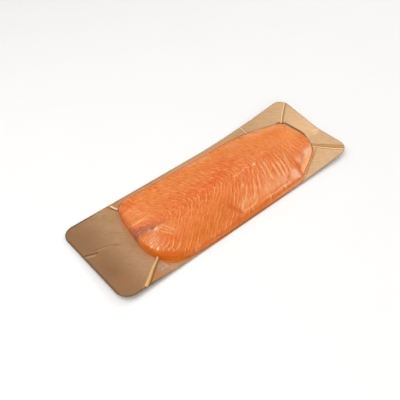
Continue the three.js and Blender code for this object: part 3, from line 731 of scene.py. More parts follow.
# Soft spots of the salmon's top: centre x and y, two radii, angle in degrees, strength.
SALMON_SPOTS = {
    # Pale fat, and painted highlights on the spine, the head end's near corner and the near wall.
    "pale": [
        (14, -50, 20, 7, -4, 0.35), (26, -26, 5, 1.6, 45, 0.55), (48, -50, 12, 7, 10, 0.5),
        (-92, -24, 10, 10, 0, 0.15), (84, -50, 20, 8, 4, 0.45), (66, -38, 7, 18, 55, 0.25),
        (33, -8, 4.5, 1.2, 5, 0.6), (37, -7, 2, 1, 40, 0.4), (45, -6.5, 2.4, 1.1, 35, 0.7),
        (53, -5.5, 2.2, 1.1, -20, 0.7), (66, -7.5, 2.6, 1.5, 30, 0.85), (-5, -7, 1.8, 0.9, 40, 0.5),
        (5, -7, 1.8, 0.9, 50, 0.5), (-66, -4, 2, 0.9, 40, 0.4), (90, 2, 2.6, 1.1, 10, 0.5),
        (22, 46, 9, 4, 0, 0.3), (4, 52, 20, 3.5, -3, 0.4), (68, 44, 12, 6, -20, 0.3),
        (-110, 54, 3, 1.6, 0, 0.6), (-104, 49, 1.6, 3, 0, 0.5), (110, 40, 20, 6, -20, 0.45),
        (139, 30, 14, 5, -25, 0.4), (-131, -30, 2.6, 1.2, 10, 0.9), (-126, -36.5, 3, 1.2, 35, 0.9),
        (-110, -12, 3, 1.4, 20, 0.9), (-104, -13, 5, 2.2, 0, 0.4), (-118, 10, 9, 1, -3, 0.6),
        (160, 12, 7, 14, 0, 0.2), (-89, -65.5, 1.4, 2.4, 0, 0.9), (-84, -64.5, 2, 1.4, 0, 0.5),
        (-60, -65, 2.4, 1.2, 0, 0.4),
    ],
    # Darker orange, and painted shade in the crease before the tail's flap.
    "dark": [
        (-10, -46, 4.2, 8, -8, 0.85), (-12, -42, 5, 5, 0, 0.5), (-8, -52, 2, 4, 10, 0.6),
        (-123, -50, 15, 4, -45, 0.7), (87, -54, 3.6, 2.2, 35, 1.0), (92, -50, 2, 4, -30, 0.5),
        (80, -58, 6, 1.2, 5, 0.5), (64, -58, 8, 1.2, 3, 0.5), (97, -45, 1.6, 5, -20, 0.5),
        (-116, 51, 2.4, 4, 0, 0.9), (-107, 46, 2.4, 5, 10, 0.7), (-112, 42, 2, 3, 30, 0.6),
        (-101, 51, 2, 3, 0, 0.5), (40, -30, 9, 10, 45, 0.15), (111.5, -49, 2, 9, -28, 0.9),
        (-128, 24, 3, 14, 0, 0.2), (110, -60, 3, 3, 0, 0.6), (128, 24, 16, 6, -25, 0.12),
        (24, -18, 12, 4, 30, 0.25), (-4, -30, 10, 4, 40, 0.25), (133, 10, 2, 7, -10, 0.25),
        (143, 24, 2, 5, 10, 0.25), (120, -6, 2, 8, -15, 0.25),
    ],
    "rosy": [
        (-134, 4, 5, 7, 25, 0.9), (-126, 0, 8, 3.4, -10, 0.9), (-114, -3.5, 10, 2.8, -12, 0.8),
        (-98, -6, 8, 3, -20, 0.45), (-114, 2, 10, 1.6, -8, 0.4), (92, 46, 4, 3, -40, 0.5),
        (-112, 47, 4, 4, 0, 0.3), (40, 30, 5, 3, 30, 0.35), (22, 42, 4, 3, 0, 0.3),
        (-22, -60, 8, 2, 0, 0.4), (-128, -12, 5, 3, 0, 0.5),
    ],
    "mauve": [
        (-135, -4, 6, 4, 0, 1.0), (-126, -6, 7, 3.6, -8, 0.9), (-114, -8.5, 7, 2.4, -10, 0.8),
        (-133, 11, 1.6, 8, 15, 0.5), (91, 48, 1.4, 5, -30, 0.6), (103, -50, 2, 5, 0, 0.2),
        (-24, -58.5, 4, 1.4, 10, 0.55), (-8, -58, 3, 2.6, 30, 0.5), (114, 42, 8, 3, -25, 0.3),
        (-100, -9, 5, 1.6, -10, 0.4), (-119, -6, 11, 3.4, -10, 0.4),
    ],
    "silver": [
        (147, -34, 12, 4, 28, 0.6), (144, -33.5, 6, 3, 10, 0.6), (101, -53, 5, 7, -20, 0.8),
        (80, -55, 16, 3, 0, 0.4), (-109, -13, 6, 2.4, 0, 0.4), (162, -29, 6, 3, 30, 0.4),
        (94, -59, 8, 2.6, 0, 0.65), (126, -40, 6, 7, -10, 0.5), (-121, -24, 8, 10, 0, 0.3),
        (-118, -9, 3, 2, 0, 0.5), (60, -54, 10, 4, 10, 0.3),
    ],
    "ochre": [
        (-60, -52, 44, 10, 0, 1.0), (-12, -43, 18, 12, 0, 1.0), (-122, -44, 12, 12, 0, 0.6),
        (112, -14, 12, 16, 30, 0.5), (76, -20, 5, 12, 20, 0.4),
    ],
    "golden": [
        (150, 8, 26, 24, 0, 0.95), (100, 30, 34, 20, -15, 0.4), (-85, 38, 36, 16, 0, 0.4),
        (20, 44, 50, 10, 0, 0.3), (128, -10, 20, 10, 0, 0.35),
    ],
    "blush": [
        (-20, 3, 60, 10, 5, 0.75), (10, 6, 26, 9, 20, 0.3), (56, -26, 14, 12, 50, 0.6),
        (-102, -34, 14, 9, 0, 0.4), (92, -6, 22, 10, 0, 0.35), (-112, 32, 14, 12, 0, 0.4),
        (30, 22, 26, 8, -20, 0.4), (-62, 12, 20, 7, 0, 0.4), (136, 20, 9, 12, 20, 0.35),
    ],
    # Painted highlights.
    "glint": [
        (-131, -30, 2.2, 0.8, 10, 0.9), (-126, -36.5, 2.8, 0.8, 35, 0.9),
        (-110, -12, 2.6, 0.9, 20, 0.9), (-128, -25, 1.8, 0.7, 0, 0.5),
        (66, -7.5, 2.0, 1.1, 30, 0.6), (45, -6.5, 1.8, 0.7, 35, 0.4),
        (53, -5.5, 1.8, 0.7, -20, 0.4), (144, -33.5, 4, 1.6, 10, 0.4), (100, -62.5, 3, 1, 5, 0.6),
        (-117, -46, 1.6, 0.6, 60, 0.6), (-113, -50, 1.8, 0.6, 60, 0.6),
        (-124, -31, 1.2, 0.6, 30, 0.6), (-119, -35, 1.4, 0.6, 50, 0.5),
        (-116, -16, 1.6, 0.7, 10, 0.5), (-121, -41, 2.4, 0.7, 45, 0.5),
        (71, -61.5, 2.4, 0.8, 0, 0.5), (-2, -61, 1.6, 0.8, 0, 0.5), (27, -26, 2.6, 0.9, 45, 0.5),
        (104, -53, 1.2, 4, -20, 0.4), (82, -60, 1.4, 0.8, 0, 0.5),
    ],
    # Where the rows of flakes show less.
    "calm": [
        (-103, -20, 13, 13, 0, 1.0), (-118, -47, 11, 8, -40, 0.9), (-126, -24, 8, 16, 0, 0.8),
        (-122, -6, 16, 6, -8, 0.7), (146, -30, 22, 9, 28, 0.9), (-110, 50, 10, 8, 0, 0.7),
        (-72, -38, 34, 26, 0, 0.5), (-86, 14, 24, 22, 0, 0.8), (-108, 12, 14, 12, 0, 0.4),
        (140, 10, 30, 20, 0, 0.5), (40, -52, 14, 9, 0, 0.6),
    ],
}
# Pale strokes drawn through a few points each, with their width.
PALE_STROKES = [
    ([(-101, -9), (-98, -16), (-94, -23), (-92, -30)], 0.7),
    ([(-108.5, -16.5), (-104, -22), (-99, -29), (-97, -33)], 0.6),
    ([(-104, -12), (-101, -19), (-96, -27)], 0.4), ([(-131, 11), (-124, 10), (-116, 9)], 0.8),
    ([(-120, -40), (-114, -40), (-106, -36)], 0.5), ([(-118, -46), (-111, -45), (-103, -40)], 0.5),
    ([(-112, -52), (-104, -50), (-96, -44)], 0.5),
    ([(75, -9), (67, -27), (60, -39), (54, -52)], 1.0),
    ([(81, -9), (77, -22), (72, -33), (67, -46)], 1.2), ([(89, -18), (85, -33), (79, -46)], 1.1),
    ([(97, -20), (90, -39), (85, -49)], 1.3), ([(103, -22), (97, -39), (90, -51)], 1.1),
    ([(110, -22), (104, -38), (98, -50)], 0.9), ([(120, -32), (120.5, -42), (122, -54)], 0.9),
    ([(124, -32), (124, -42), (126, -51)], 0.8), ([(34, -27), (20, -40), (8, -48), (-5, -57)], 1.2),
    ([(-5, -57), (4, -60), (16, -60), (24, -56)], 0.9),
    ([(48, -24), (38, -37), (30, -46), (20, -54)], 1.0), ([(58, -22), (50, -34), (38, -48)], 0.8),
    ([(131, -42), (142, -38), (156, -31)], 1.4), ([(116, -14), (111, -28), (107, -40)], 0.8),
    ([(108, -62), (124, -52), (142, -43), (164, -29)], 3.2),
]
# Darker strokes: painted shade in the crease before the tail's flap, gaps between pale bands, parts
# of the rim.
DARK_STROKES = [
    ([(107, -60), (112, -50), (118, -38), (124, -28)], 1.3),
    ([(93, -24), (87, -38), (82, -50)], 1.0), ([(71, -12), (63, -33), (57, -47)], 1.1),
    ([(99.5, -24), (94, -38), (88, -50)], 0.9), ([(106, -24), (101, -38), (95, -49)], 0.7),
    ([(28, -30), (16, -42), (2, -53)], 0.7), ([(165, -30), (169, -20), (172, -8)], 1.2),
    ([(-137, -22), (-132.5, -38), (-124, -51), (-112, -59)], 2.2),
    ([(-126, -45), (-118, -53), (-104, -60)], 2.0),
]
# Short, nearly parallel pale lines at the head end: slope, pitch and the spot they lie in.
HEAD_LINES = [(0.2, 3.4, (-126, -24, 9, 13, 0, 0.6)), (0.08, 3.5, (-114, 24, 14, 14, 0, 0.75))]

# Points along the five stretches of outline between the pleats, the first and second of which are
# also the columns and rows of the patch inside. The underside takes one point of every ten.
SALMON_COLUMNS = (400, 150, 80, 320, 150)
COARSE = 10
# How far inside the outline the patch and the loops lie, and the wall's steps as shares of its height.
PATCH_INSET = 4.0
SALMON_LOOPS = (3.3, 2.7, 2.1, 1.6, 1.15, 0.75, 0.45, 0.2, 0.06, 0.0)
WALL_STEPS = (0.75, 0.45, 0.2, 0.0)


def head_lines(x, y, slope, pitch, place):
    """Short, nearly parallel pale lines within a soft spot."""
    across = (y - slope * x + 1.2 * noise(x, y, 9, 71)) / pitch
    return ridge(across, np.round(across), 0.2) * spot(x, y, *place)


def flake_relief(x, y, rim, flake):
    """The height of the flakes, 0 at their crests and less between, with some unevenness."""
    phase = flake - np.floor(flake)
    drop = FLAKE_DROP / FLAKE_PITCH
    saw = np.where(phase < drop, rise(phase, (0, drop)), 1 - (phase - drop) / (1 - drop))
    depth = lerp(FLAKE_DEPTH_FAR, FLAKE_DEPTH_NEAR, fall(y, (SPINE_Y - 4, SPINE_Y + 4)))
    uneven = 0.8 + 0.35 * noise(x, y, 11, 5)
    fade = rise(rim, FLAKE_FADE_SPAN)
    return fade * (-depth * uneven * saw + 0.18 * noise(x, y, 14, 6) + 0.07 * noise(x, y, 4, 7))


def flake_coordinate(x, y):
    """The row of flakes a point lies in, counted from the head end with fractions, a bit wavy."""
    head_end = RING[:, 0][np.abs(RING[:, 1] - SPINE_Y) < 6].min()
    wave = 1.7 * noise(x, y, 26, 3) + noise(x, y, 6, 4) * lerp(0.22, 0.9, rise(y, (-8, 10)))
    return (flake_apex(x, y) + wave - head_end) / FLAKE_PITCH - 0.5


def salmon_values(x, y, rim, flake):
    """What the salmon's material reads at each point."""
    # A pale lip inside the near rim, towards the tail.
    ragged = noise(x, y, 7, 31)
    lip = (ridge(rim - 4.8, 1.3 * ragged, lerp(1.0, 1.6, rise(x, (50, 80))))
           * rise(x, (22, 36)) * lerp(0.9, 0.7, rise(x, (72, 84))) * fall(x, (98, 106))
           * fall(y, (-52, -45)) * rise(noise(x, y, 6, 32), (-0.9, 0.1)))

    # The pale flap beside the tail, the cut sides at the rim, and where those are in shade.
    left_end = fall(x, (-126, -112))
    flap = rise(x, (107, 116)) * fall(y, (-34, -26)) * fall(rim, (4, 8))
    far_rim = rise(y, (40, 50)) * rise(x, (-110, -90)) * fall(x, (70, 100))
    side = (fall(rim, (0.1, lerp(1.0, 2.6, left_end))) * (1 - flap) * (1 - 0.8 * far_rim)
            * lerp(0.45, 0.8, np.maximum(rise(x, (10, 30)) * (y < -50), left_end)))
    left_side = 0.45 * left_end * rise(y, (-42, -30)) * fall(rim, (0.5, 4.5))
    near_side = (lerp(0.1, 0.08, rise(x, (15, 35))) * fall(x, (100, 108))
                 * rise(x, (-110, -90)) * fall(y, (-58, -54)) * fall(rim, (1.5, 3.2)))

    values = {name: spots(x, y, listed) for name, listed in SALMON_SPOTS.items()}
    lines = sum(head_lines(x, y, *numbers) for numbers in HEAD_LINES)
    pale = values["pale"] + lines + 0.85 * strokes(x, y, PALE_STROKES) + 0.8 * lip
    values["pale"] = np.clip(pale, 0, 1)
    values["dark"] = np.clip(values["dark"] + 0.55 * strokes(x, y, DARK_STROKES), 0, 1)
    values.update(flake=flake, spine=y - SPINE_Y, flap=flap, side=side,
                  shaded=np.maximum(left_side, near_side))
    return values


def build_salmon(look):
    """The top as a patch inside loops that follow the outline, then the wall and the underside."""
    outline, _ = loops_between_pleats(SALMON_COLUMNS)
    sheet = Sheet(outline, SALMON_COLUMNS, SALMON_LOOPS)
    top_count = sheet.count
    for _ in WALL_STEPS:
        sheet.loop(outline)
    wall_count = sheet.count
    across, down = (count // COARSE for count in SALMON_COLUMNS[:2])
    border = sheet.patch(outline[::COARSE], across, down, corners=(1, 2, 3, 0))

    x, y = np.concatenate(sheet.points).T
    rim = np.maximum(rim_distance(x, y), 0)
    rim[sheet.patch_count:top_count] = np.repeat(SALMON_LOOPS, len(outline))
    rim[top_count:] = 0
    flake = flake_coordinate(x, y)
    ground = card_top(x, y) + REST_GAP
    z = ground + salmon_thickness(x, y, rim)
    z[:top_count] += flake_relief(x, y, rim, flake)[:top_count]
    part = slice(top_count, wall_count)
    stand = np.repeat(WALL_STEPS, len(outline)) * salmon_thickness(x[part], y[part], rim[part])
    z[part] = ground[part] + stand
    z[wall_count:] = ground[wall_count:]

    # The underside is coarser than the wall's foot, so faces with many corners join the two.
    faces = np.concatenate(sheet.faces).tolist()
    for k, (corner, after) in enumerate(zip(border, np.roll(border, -1))):
        steps = np.arange(k * COARSE, k * COARSE + COARSE + 1)
        faces.append([after, corner, *sheet.last[steps % len(sheet.last)]])
    values = salmon_values(x, y, rim, flake)
    return make_object("salmon", np.stack([x, y, z], 1), faces, values, [look])


# -------- card

# Creases of the foil: points, depth, width.
CREASES = [
    ([(-198, 17.4), (-193, 15.6), (-184, 12.4), (-180, 11.4)], -0.34, 0.9),
    ([(-200, 14.6), (-195, 13.2), (-189, 10.4), (-184, 9.4)], 0.24, 1.0),
    ([(-185, 16.8), (-177, 15.4), (-168, 13.6), (-160, 9.2), (-147, 4.2)], -0.12, 0.9),
    ([(-184, 15), (-176, 13.6), (-167, 11.6), (-159, 7.4)], 0.12, 0.9),
    ([(186, -9), (191, -11), (197, -14)], 0.25, 1.6),
    ([(-132, -50), (-129, -58), (-128, -68)], 0.2, 0.9),
]
# Painted highlights on the foil, places where it looks grey through cloudy film, and spots and lines
# of oil.
PAINTED_HIGHLIGHT_SPOTS = [
    (192, -9, 5, 2, -15, 1.0), (188, -14, 4, 1.4, -25, 0.9), (197, -12, 3, 1.6, 0, 0.8),
    (-166, -66, 3, 2, 20, 0.4),
]
DULL_SPOTS = [
    (-137, -56, 6, 5, 0, 1.0), (-134, -62, 6, 4, 0, 0.9), (-146, -63, 5, 3, 10, 0.5),
]
OIL_SPOTS = [
    (-146, -61, 7, 5, 30, 0.8), (-166, -63.5, 2.2, 1.6, 30, 0.9), (-136, -66, 10, 2, 0, 0.6),
    (-188, 2, 4, 2, 40, 0.3), (-182, -46, 9, 9, 0, 0.18),
]
OIL_STROKES = [
    ([(-125, -52.5), (-127.5, -59), (-130.6, -66.5)], 1.0),
    ([(-127, -50), (-122, -57), (-112, -64)], 1.6),
]
# The triangle of oily foil and film beside the near left pleat, and a spot of painted darker
# reflection at the left end.
NEAR_LEFT_OIL = (-117, -60, 20, 11, -30)
DARK_REFLECTION_SPOT = (-184, -24, 14, 18, 20, 0.2)
# The side of each pleat that is shaded: 1 for its left as it runs outwards, -1 for its right.
SHADED_SIDES = (1, 1, -1, -1, 1)
# The card's points: rows across it, and columns that are further apart in its middle.
CARD_ROWS = 155
CARD_STEP = 0.9
CARD_STEP_MIDDLE = 3
CARD_MIDDLE_SPAN_X = (-118, 100)
CARD_CORNER_COLUMNS = 13
NICK_COLUMNS = 7
CARD_SHARP_ANGLE = 40
# The foil lies this far below the solid's top, and no crease rises above the second height, so that
# the film clears it. Creases end this far from the salmon.
FOIL_DROP = 0.1
CREASE_LIMIT = 0.35
CREASE_CLEARANCE = 3
# What the material reads on the lower face as well, which has no marks of oil, film or creases.
SAME_BELOW = ("edge", "painted_dark_reflection", "painted_bright_reflection", "painted_rim_shade")


def tail_line(x, y, rim):
    """The dark line round the tail's end, in the film's fold: painted shade and oil."""
    offset = lerp(1.0, 3.2, rise(y, (-18, -4))) + 0.9 * rise(y, (8, 30))
    width = lerp(0.9, 1.4, rise(y, (-14, -4)))
    return (rise(x, (156, 163)) * rise(y, (-30, -12)) * lerp(0.6, 1, rise(y, (-14, -4)))
            * np.exp(-((rim + offset) / width) ** 4))


def card_columns():
    """Places along the card for its columns of points, with some for its corners and its nick."""
    straight = CARD_LENGTH / 2 - CORNER_RADIUS
    corner = straight + CORNER_RADIUS * np.sin(np.linspace(0, np.pi / 2, CARD_CORNER_COLUMNS)[1:])
    nick = NICK_X + NICK_HALF_LENGTH * np.linspace(-1, 1, NICK_COLUMNS)
    first, last = CARD_MIDDLE_SPAN_X
    return np.unique(np.concatenate([
        -corner, np.arange(-straight, first, CARD_STEP), np.arange(first, last, CARD_STEP_MIDDLE),
        np.arange(last, straight, CARD_STEP), [straight], corner, nick]))


def upper_and_lower(above, below):
    return np.concatenate([np.ravel(above), np.ravel(below)])


def card_values(x, y, rim, edge):
    """What the card's material reads on its upper face."""
    at_left = fall(x, (-160, -120))
    near_strip = rise(x, (-112, -100)) * fall(x, (100, 112)) * fall(y, (-60, -50))
    # Painted shade along the card's rim, wider at the left end.
    painted_rim_shade = (lerp(0.55, 0.9, at_left) * (1 - near_strip)
                * fall(edge, (0.5, lerp(1.2, 3.4, at_left))))

    # Painted shade and dark oil round the tail and, faintly, all round, and orange oil on the strips,
    # by the pleats and in spots.
    far_tail = rise(x, (60, 112)) * rise(y, (20, 32)) * fall(x, (152, 162))
    contact_shade_and_oil = np.maximum.reduce([0.75 * far_tail * ridge(rim, -2.6, 1.5),
                                 0.7 * tail_line(x, y, rim), 0.12 * ridge(rim, -1.2, 1.6)])
    stain = (0.8 * rise(rim, (-5, 0)) * lerp(1, 0.4, rise(y, (30, 50)))
             + 0.3 * rise(y, (57, 60)) * fall(x, (70, 110)))
    stain = np.clip(stain * rise(x, (-139, -128)) + 0.5 * rise(rim, (-2.5, 0)), 0, 0.9)
    stain = stain * fall(x, (156, 163))
    stain = np.maximum(stain, 0.95 * spot(x, y, *NEAR_LEFT_OIL) * rise(rim, (-4, -2.5)))
    by_flap = rise(x, (104, 110)) * fall(y, (-36, -26))
    stain = np.maximum(stain * (1 - 0.6 * by_flap), 0.3 * by_flap * rise(rim, (-3.5, -2)))
    stain = np.maximum(stain, spots(x, y, OIL_SPOTS))
    for points, width in OIL_STROKES:
        stain = np.maximum(stain, stroke(x, y, points, width))

    # Painted shade and highlights: a shaded and a lit line beside each pleat, one or the other along
    # each crease, painted highlight spots and a lit band by the far edge.
    shade = np.zeros(np.shape(x))
    light = spots(x, y, PAINTED_HIGHLIGHT_SPOTS)
    light = light + 0.35 * rise(y, (54, 60)) * rise(x, (-70, -10)) * fall(x, (80, 112))
    for (start, end, widths, _), (widening, *_), side in zip(PLEATS, FOLDS, SHADED_SIDES):
        away, along = line_distance(x, y, [start, end])
        near_line = rise(along, (0, 0.05))
        half = widening * lerp(*widths, along) / 2
        shaded = 0.6 * ridge(away * side - half, 0.4, 1.2)
        lit = (0.9 if widths[0] > 3 else 0.25) * ridge(away * side + half, -0.7, 0.9)
        shade = np.maximum(shade, shaded * near_line)
        light = np.maximum(light, lit * near_line)
    for points, depth, width in CREASES:
        line = stroke(x, y, points, width)
        shade = np.maximum(shade, np.minimum(1, line * max(0, -4 * depth)))
        light = np.maximum(light, line * max(0, 2 * depth))
    # Painted reflection, darker towards the left end and brighter towards the right.
    painted_dark_reflection = np.clip(fall(x, (-190, -128)) + spot(x, y, *DARK_REFLECTION_SPOT), 0, 1.2)
    dull = spots(x, y, DULL_SPOTS) * rise(noise(x, y, 3.0, 13), (-0.5, 0.3))
    return {"edge": edge, "painted_dark_reflection": painted_dark_reflection, "painted_bright_reflection": rise(x, (60, 150)), "painted_rim_shade": painted_rim_shade,
            "contact_shade_and_oil": contact_shade_and_oil, "stain": stain, "dull": dull, "fold_shade": shade,
            "fold_light": light}


def build_card(look):
    """Columns of points from edge to edge, for the upper and the lower face, and the rim between."""
    x = np.repeat(card_columns()[:, None], CARD_ROWS, 1)
    into = np.maximum(0, np.abs(x) - (CARD_LENGTH / 2 - CORNER_RADIUS))
    half = CARD_WIDTH / 2 - CORNER_RADIUS + np.sqrt(np.maximum(0, CORNER_RADIUS ** 2 - into ** 2))
    nick = NICK_DEPTH * np.clip(1 - np.abs(x - NICK_X) / NICK_HALF_LENGTH, 0, 1)
    y = lerp(-half, half - nick, np.linspace(0, 1, CARD_ROWS)[None])
    rim = rim_distance(x, y)
    edge = np.minimum(CARD_LENGTH / 2 - np.abs(x), half - np.abs(y))

    relief = 0.12 * noise(x, y, 34, 11) + 0.05 * noise(x, y, 9, 12)
    for points, depth, width in CREASES:
        relief = relief + depth * stroke(x, y, points, width)
    relief = np.where(rim > -CREASE_CLEARANCE, 0, relief) * rise(edge, (0, 5)) - FOIL_DROP
    top = card_top(x, y) + np.minimum(relief, CREASE_LIMIT) * rise(edge, (0, 1))

    upper = np.arange(x.size).reshape(x.shape)
    lower = upper + x.size
    border = grid_border(upper.T)
    faces = np.concatenate([grid_faces(upper), grid_faces(lower)[:, (0, 3, 2, 1)],
                            ring_faces(border + x.size, border)])
    bottom = card_underside(x, y)
    points = [upper_and_lower(*pair) for pair in ((x, x), (y, y), (top, bottom))]
    values = {name: upper_and_lower(numbers, numbers if name in SAME_BELOW else 0 * numbers)
              for name, numbers in card_values(x, y, rim, edge).items()}
    return make_object("card", np.stack(points, 1), faces, values, [look],
                       smooth_angle=CARD_SHARP_ANGLE)


# -------- film

# Points between the pleats and distances inside the outline, as for the salmon.
FILM_COLUMNS = (240, 90, 48, 192, 90)
FILM_LOOPS = (3.3, 2.6, 2.0, 1.4, 0.9, 0.5, 0.2, 0.0)
# Loops outside the salmon: at these distances, or closer together where they would pass the largest
# share of the way to the film's edge, and then at these shares of the rest.
LOOPS_BEYOND = (0.5, 1, 1.5, 2, 3, 4.5, 6, 8, 11, 15)
LARGEST_SHARE = 0.94
SHARES_OF_REST = (0.2, 0.4, 0.6, 0.8, 0.95, 1)
# The sheet's height over the underside of the solid film, the share of the flakes' relief that it
# follows, and the height of its slack.
FILM_RISE = 0.2
FLAKES_THROUGH_FILM = 0.75
SLACK_HEIGHT = 0.1
# Gathers fan out round a centre, by their pitch in degrees, within two spots along the rim.
GATHER_CENTRE_X = -90
GATHER_PITCH = 4.2
GATHER_HEIGHT = 0.22
GATHER_SPOTS = [(-130, -36, 14, 20), (-122, 48, 12, 14, 0, 0.6)]
# Folds: points along and around, and the share of the pleat's run they start at. They reach a little
# into the sheet, sway to both sides, and their crests follow this part of half a wave.
FOLD_STATIONS = 60
FOLD_POINTS_AROUND = 21
FOLD_START = 0.02
FOLD_SINK = 0.05
FOLD_SWAY = 0.25
CREST_SPAN = (0.12, 0.88)
# How each pleat is drawn: how much wider than the solid's, how flat, how far it runs, and its
# colours from its left foot over its crest to its right: degrees, cloudiness, warmth, brownness.
FOLDS = [
    (1.5, 0.7, 0.985, [
        (0, 0.9, 1, 0.4), (30, 0.9, 1, 0.2), (60, 0.92, 0.85, 0.04), (100, 0.95, 0.62, 0),
        (150, 0.95, 0.35, 0), (180, 0.7, 0.5, 0)
    ]),
    (2.0, 0.36, 0.985, [
        (0, 0.9, 0.6, 0.8), (52, 0.9, 0.6, 0.75), (60, 0.85, 0.4, 0.05), (68, 0.85, 0.4, 0),
        (74, 0.97, 1, 0.02), (110, 0.97, 1, 0.08), (116, 0.97, 0.9, 0.8), (130, 0.97, 0.6, 0.6),
        (136, 0.97, 0, 0), (180, 0.97, 0, 0)
    ]),
    (1.35, 0.7, 0.985, [
        (0, 0.7, 0.4, 0), (40, 0.95, 0.3, 0), (100, 0.95, 0.34, 0), (130, 0.9, 0.8, 0.15),
        (165, 0.9, 0.8, 0.3), (180, 0.6, 0.6, 0.2)
    ]),
    (1.3, 0.7, 0.985, [
        (0, 0.6, 0.5, 0.3), (30, 0.8, 0.3, 0), (100, 0.9, 0.2, 0), (160, 0.8, 0.6, 0),
        (180, 0.6, 0.7, 0.1)
    ]),
    (1.3, 0.7, 0.8, [
        (0, 0.6, 0.4, 0.2), (40, 0.95, 0.15, 0), (120, 0.95, 0.15, 0), (160, 0.8, 0.7, 0.1),
        (180, 0.6, 0.7, 0.3)
    ]),
]
# The outer edge of the tent of film beside the tail's flap.
FLAP_LINE = [(168, -29), (163.5, -37), (155, -42), (145.7, -46), (130.3, -53.8), (115, -62.8)]


def film_clouds(x, y, rim, gathered):
    """How cloudy the film's sheet is, how warm the cloud, which is orange on oil, and how brown."""
    ragged = noise(x, y, 7, 25)
    over_edge = fall(rim, (-0.5, 1))
    at_left = fall(x, (-122, -112))
    by_tail = rise(x, (105, 112)) * fall(y, (-38, -28))
    beyond, _ = line_distance(x, y, FLAP_LINE)
    far_strip = rise(y, (5, 25)) * fall(x, (80, 112)) * (1 - at_left)
    clouds = [
        # The gathers, a place by the near left pleat, the left end and a spot on the far rim.
        (0.1 * gathered, 0.2, 0),
        (spot(x, y, -137, -58, 7, 6, 0, 0.6) * rise(noise(x, y, 3, 24), (-0.1, 0.5)), 0.1, 0.1),
        (0.3 * at_left * rise(y, (-20, 0)) * rise(rim, (-2.6, -1.8)) * fall(rim, (-1.2, -0.2)),
         0.3, 0),
        (spot(x, y, 38, 58, 26, 3.5, -2, 0.4), 0.2, 0),
        # The far strip, and the near one.
        (0.95 * far_strip * rise(rim + ragged, (-6, -2.5)) * fall(rim + ragged, (-1, 5)),
         lerp(0.6, 0.88, rise(rim, (-4.5, -2))), 0),
        (lerp(0.45, 0.85, rise(x, (0, 60))) * rise(rim, (-3.2, -1.5)) * over_edge * (1 - at_left)
         * (y < 0), lerp(0.85, 0.6, rise(x, (40, 100))), 0),
        # The triangle beside the near left pleat, and the rim at that corner.
        (0.8 * spot(x, y, *NEAR_LEFT_OIL) * rise(rim, (-4, -2.5)) * over_edge, 1.0, 0.05),
        (0.7 * rise(-x, (96, 112)) * rise(-y, (12, 30)) * rise(rim, (-1, 0))
         * fall(rim + ragged, (1.5, 4)), 1.0, 0.14),
        # The tent beside the tail's flap, and its outer edge.
        (0.75 * by_tail * fall(beyond, (-0.8, 0.4)) * over_edge, 0.3, 0),
        (0.8 * by_tail * ridge(beyond, 0, 0.9), 0.7, 0.3),
        # Two places on the tail's far rim, and the fold round the tail's end.
        (spot(x, y, 122, 42, 7, 4, -25, 0.5) + spot(x, y, 143, 31, 6, 3.5, -25, 0.4), 0.3, 0),
        (0.9 * tail_line(x, y, rim), 0.8, 0.9),
    ]
    haze, warm, brown = np.full(len(x), 0.012), np.zeros(len(x)), np.zeros(len(x))
    for amount, warmth, brownness in clouds:
        warm = np.where(amount > haze, warmth, warm)
        brown = np.where(amount > haze, brownness, brown)
        haze = np.maximum(haze, amount)
    return haze, warm, brown


def fold_points(start, end, widths, height, widening, flatness, reach):
    """Rows of points across a rounded fold, from its foot on the left over its crest."""
    angle = np.linspace(0, np.pi, FOLD_POINTS_AROUND)
    run = np.subtract(end, start) / np.hypot(*np.subtract(end, start))
    side = np.array([-run[1], run[0]])
    rows = []
    for share in np.linspace(FOLD_START, reach, FOLD_STATIONS):
        width = widening * lerp(*widths, share) / 2
        width = width * (1 - 0.5 * rise(share, (reach - 0.05, reach + 0.02)))
        crest = height * flatness * math.sin(math.pi * lerp(*CREST_SPAN, share)) ** 0.5
        sway = FOLD_SWAY * math.sin(9 * share + start[0])
        centre = np.add(start, np.subtract(end, start) * share) + side * sway
        x = centre[0] + side[0] * width * np.cos(angle)
        y = centre[1] + side[1] * width * np.cos(angle)
        base = film_underside(x, y, rim_distance(x, y)) + FILM_RISE - FOLD_SINK
        rows.append(np.stack([x, y, base + crest * np.sin(angle)], 1))
    return np.concatenate(rows)


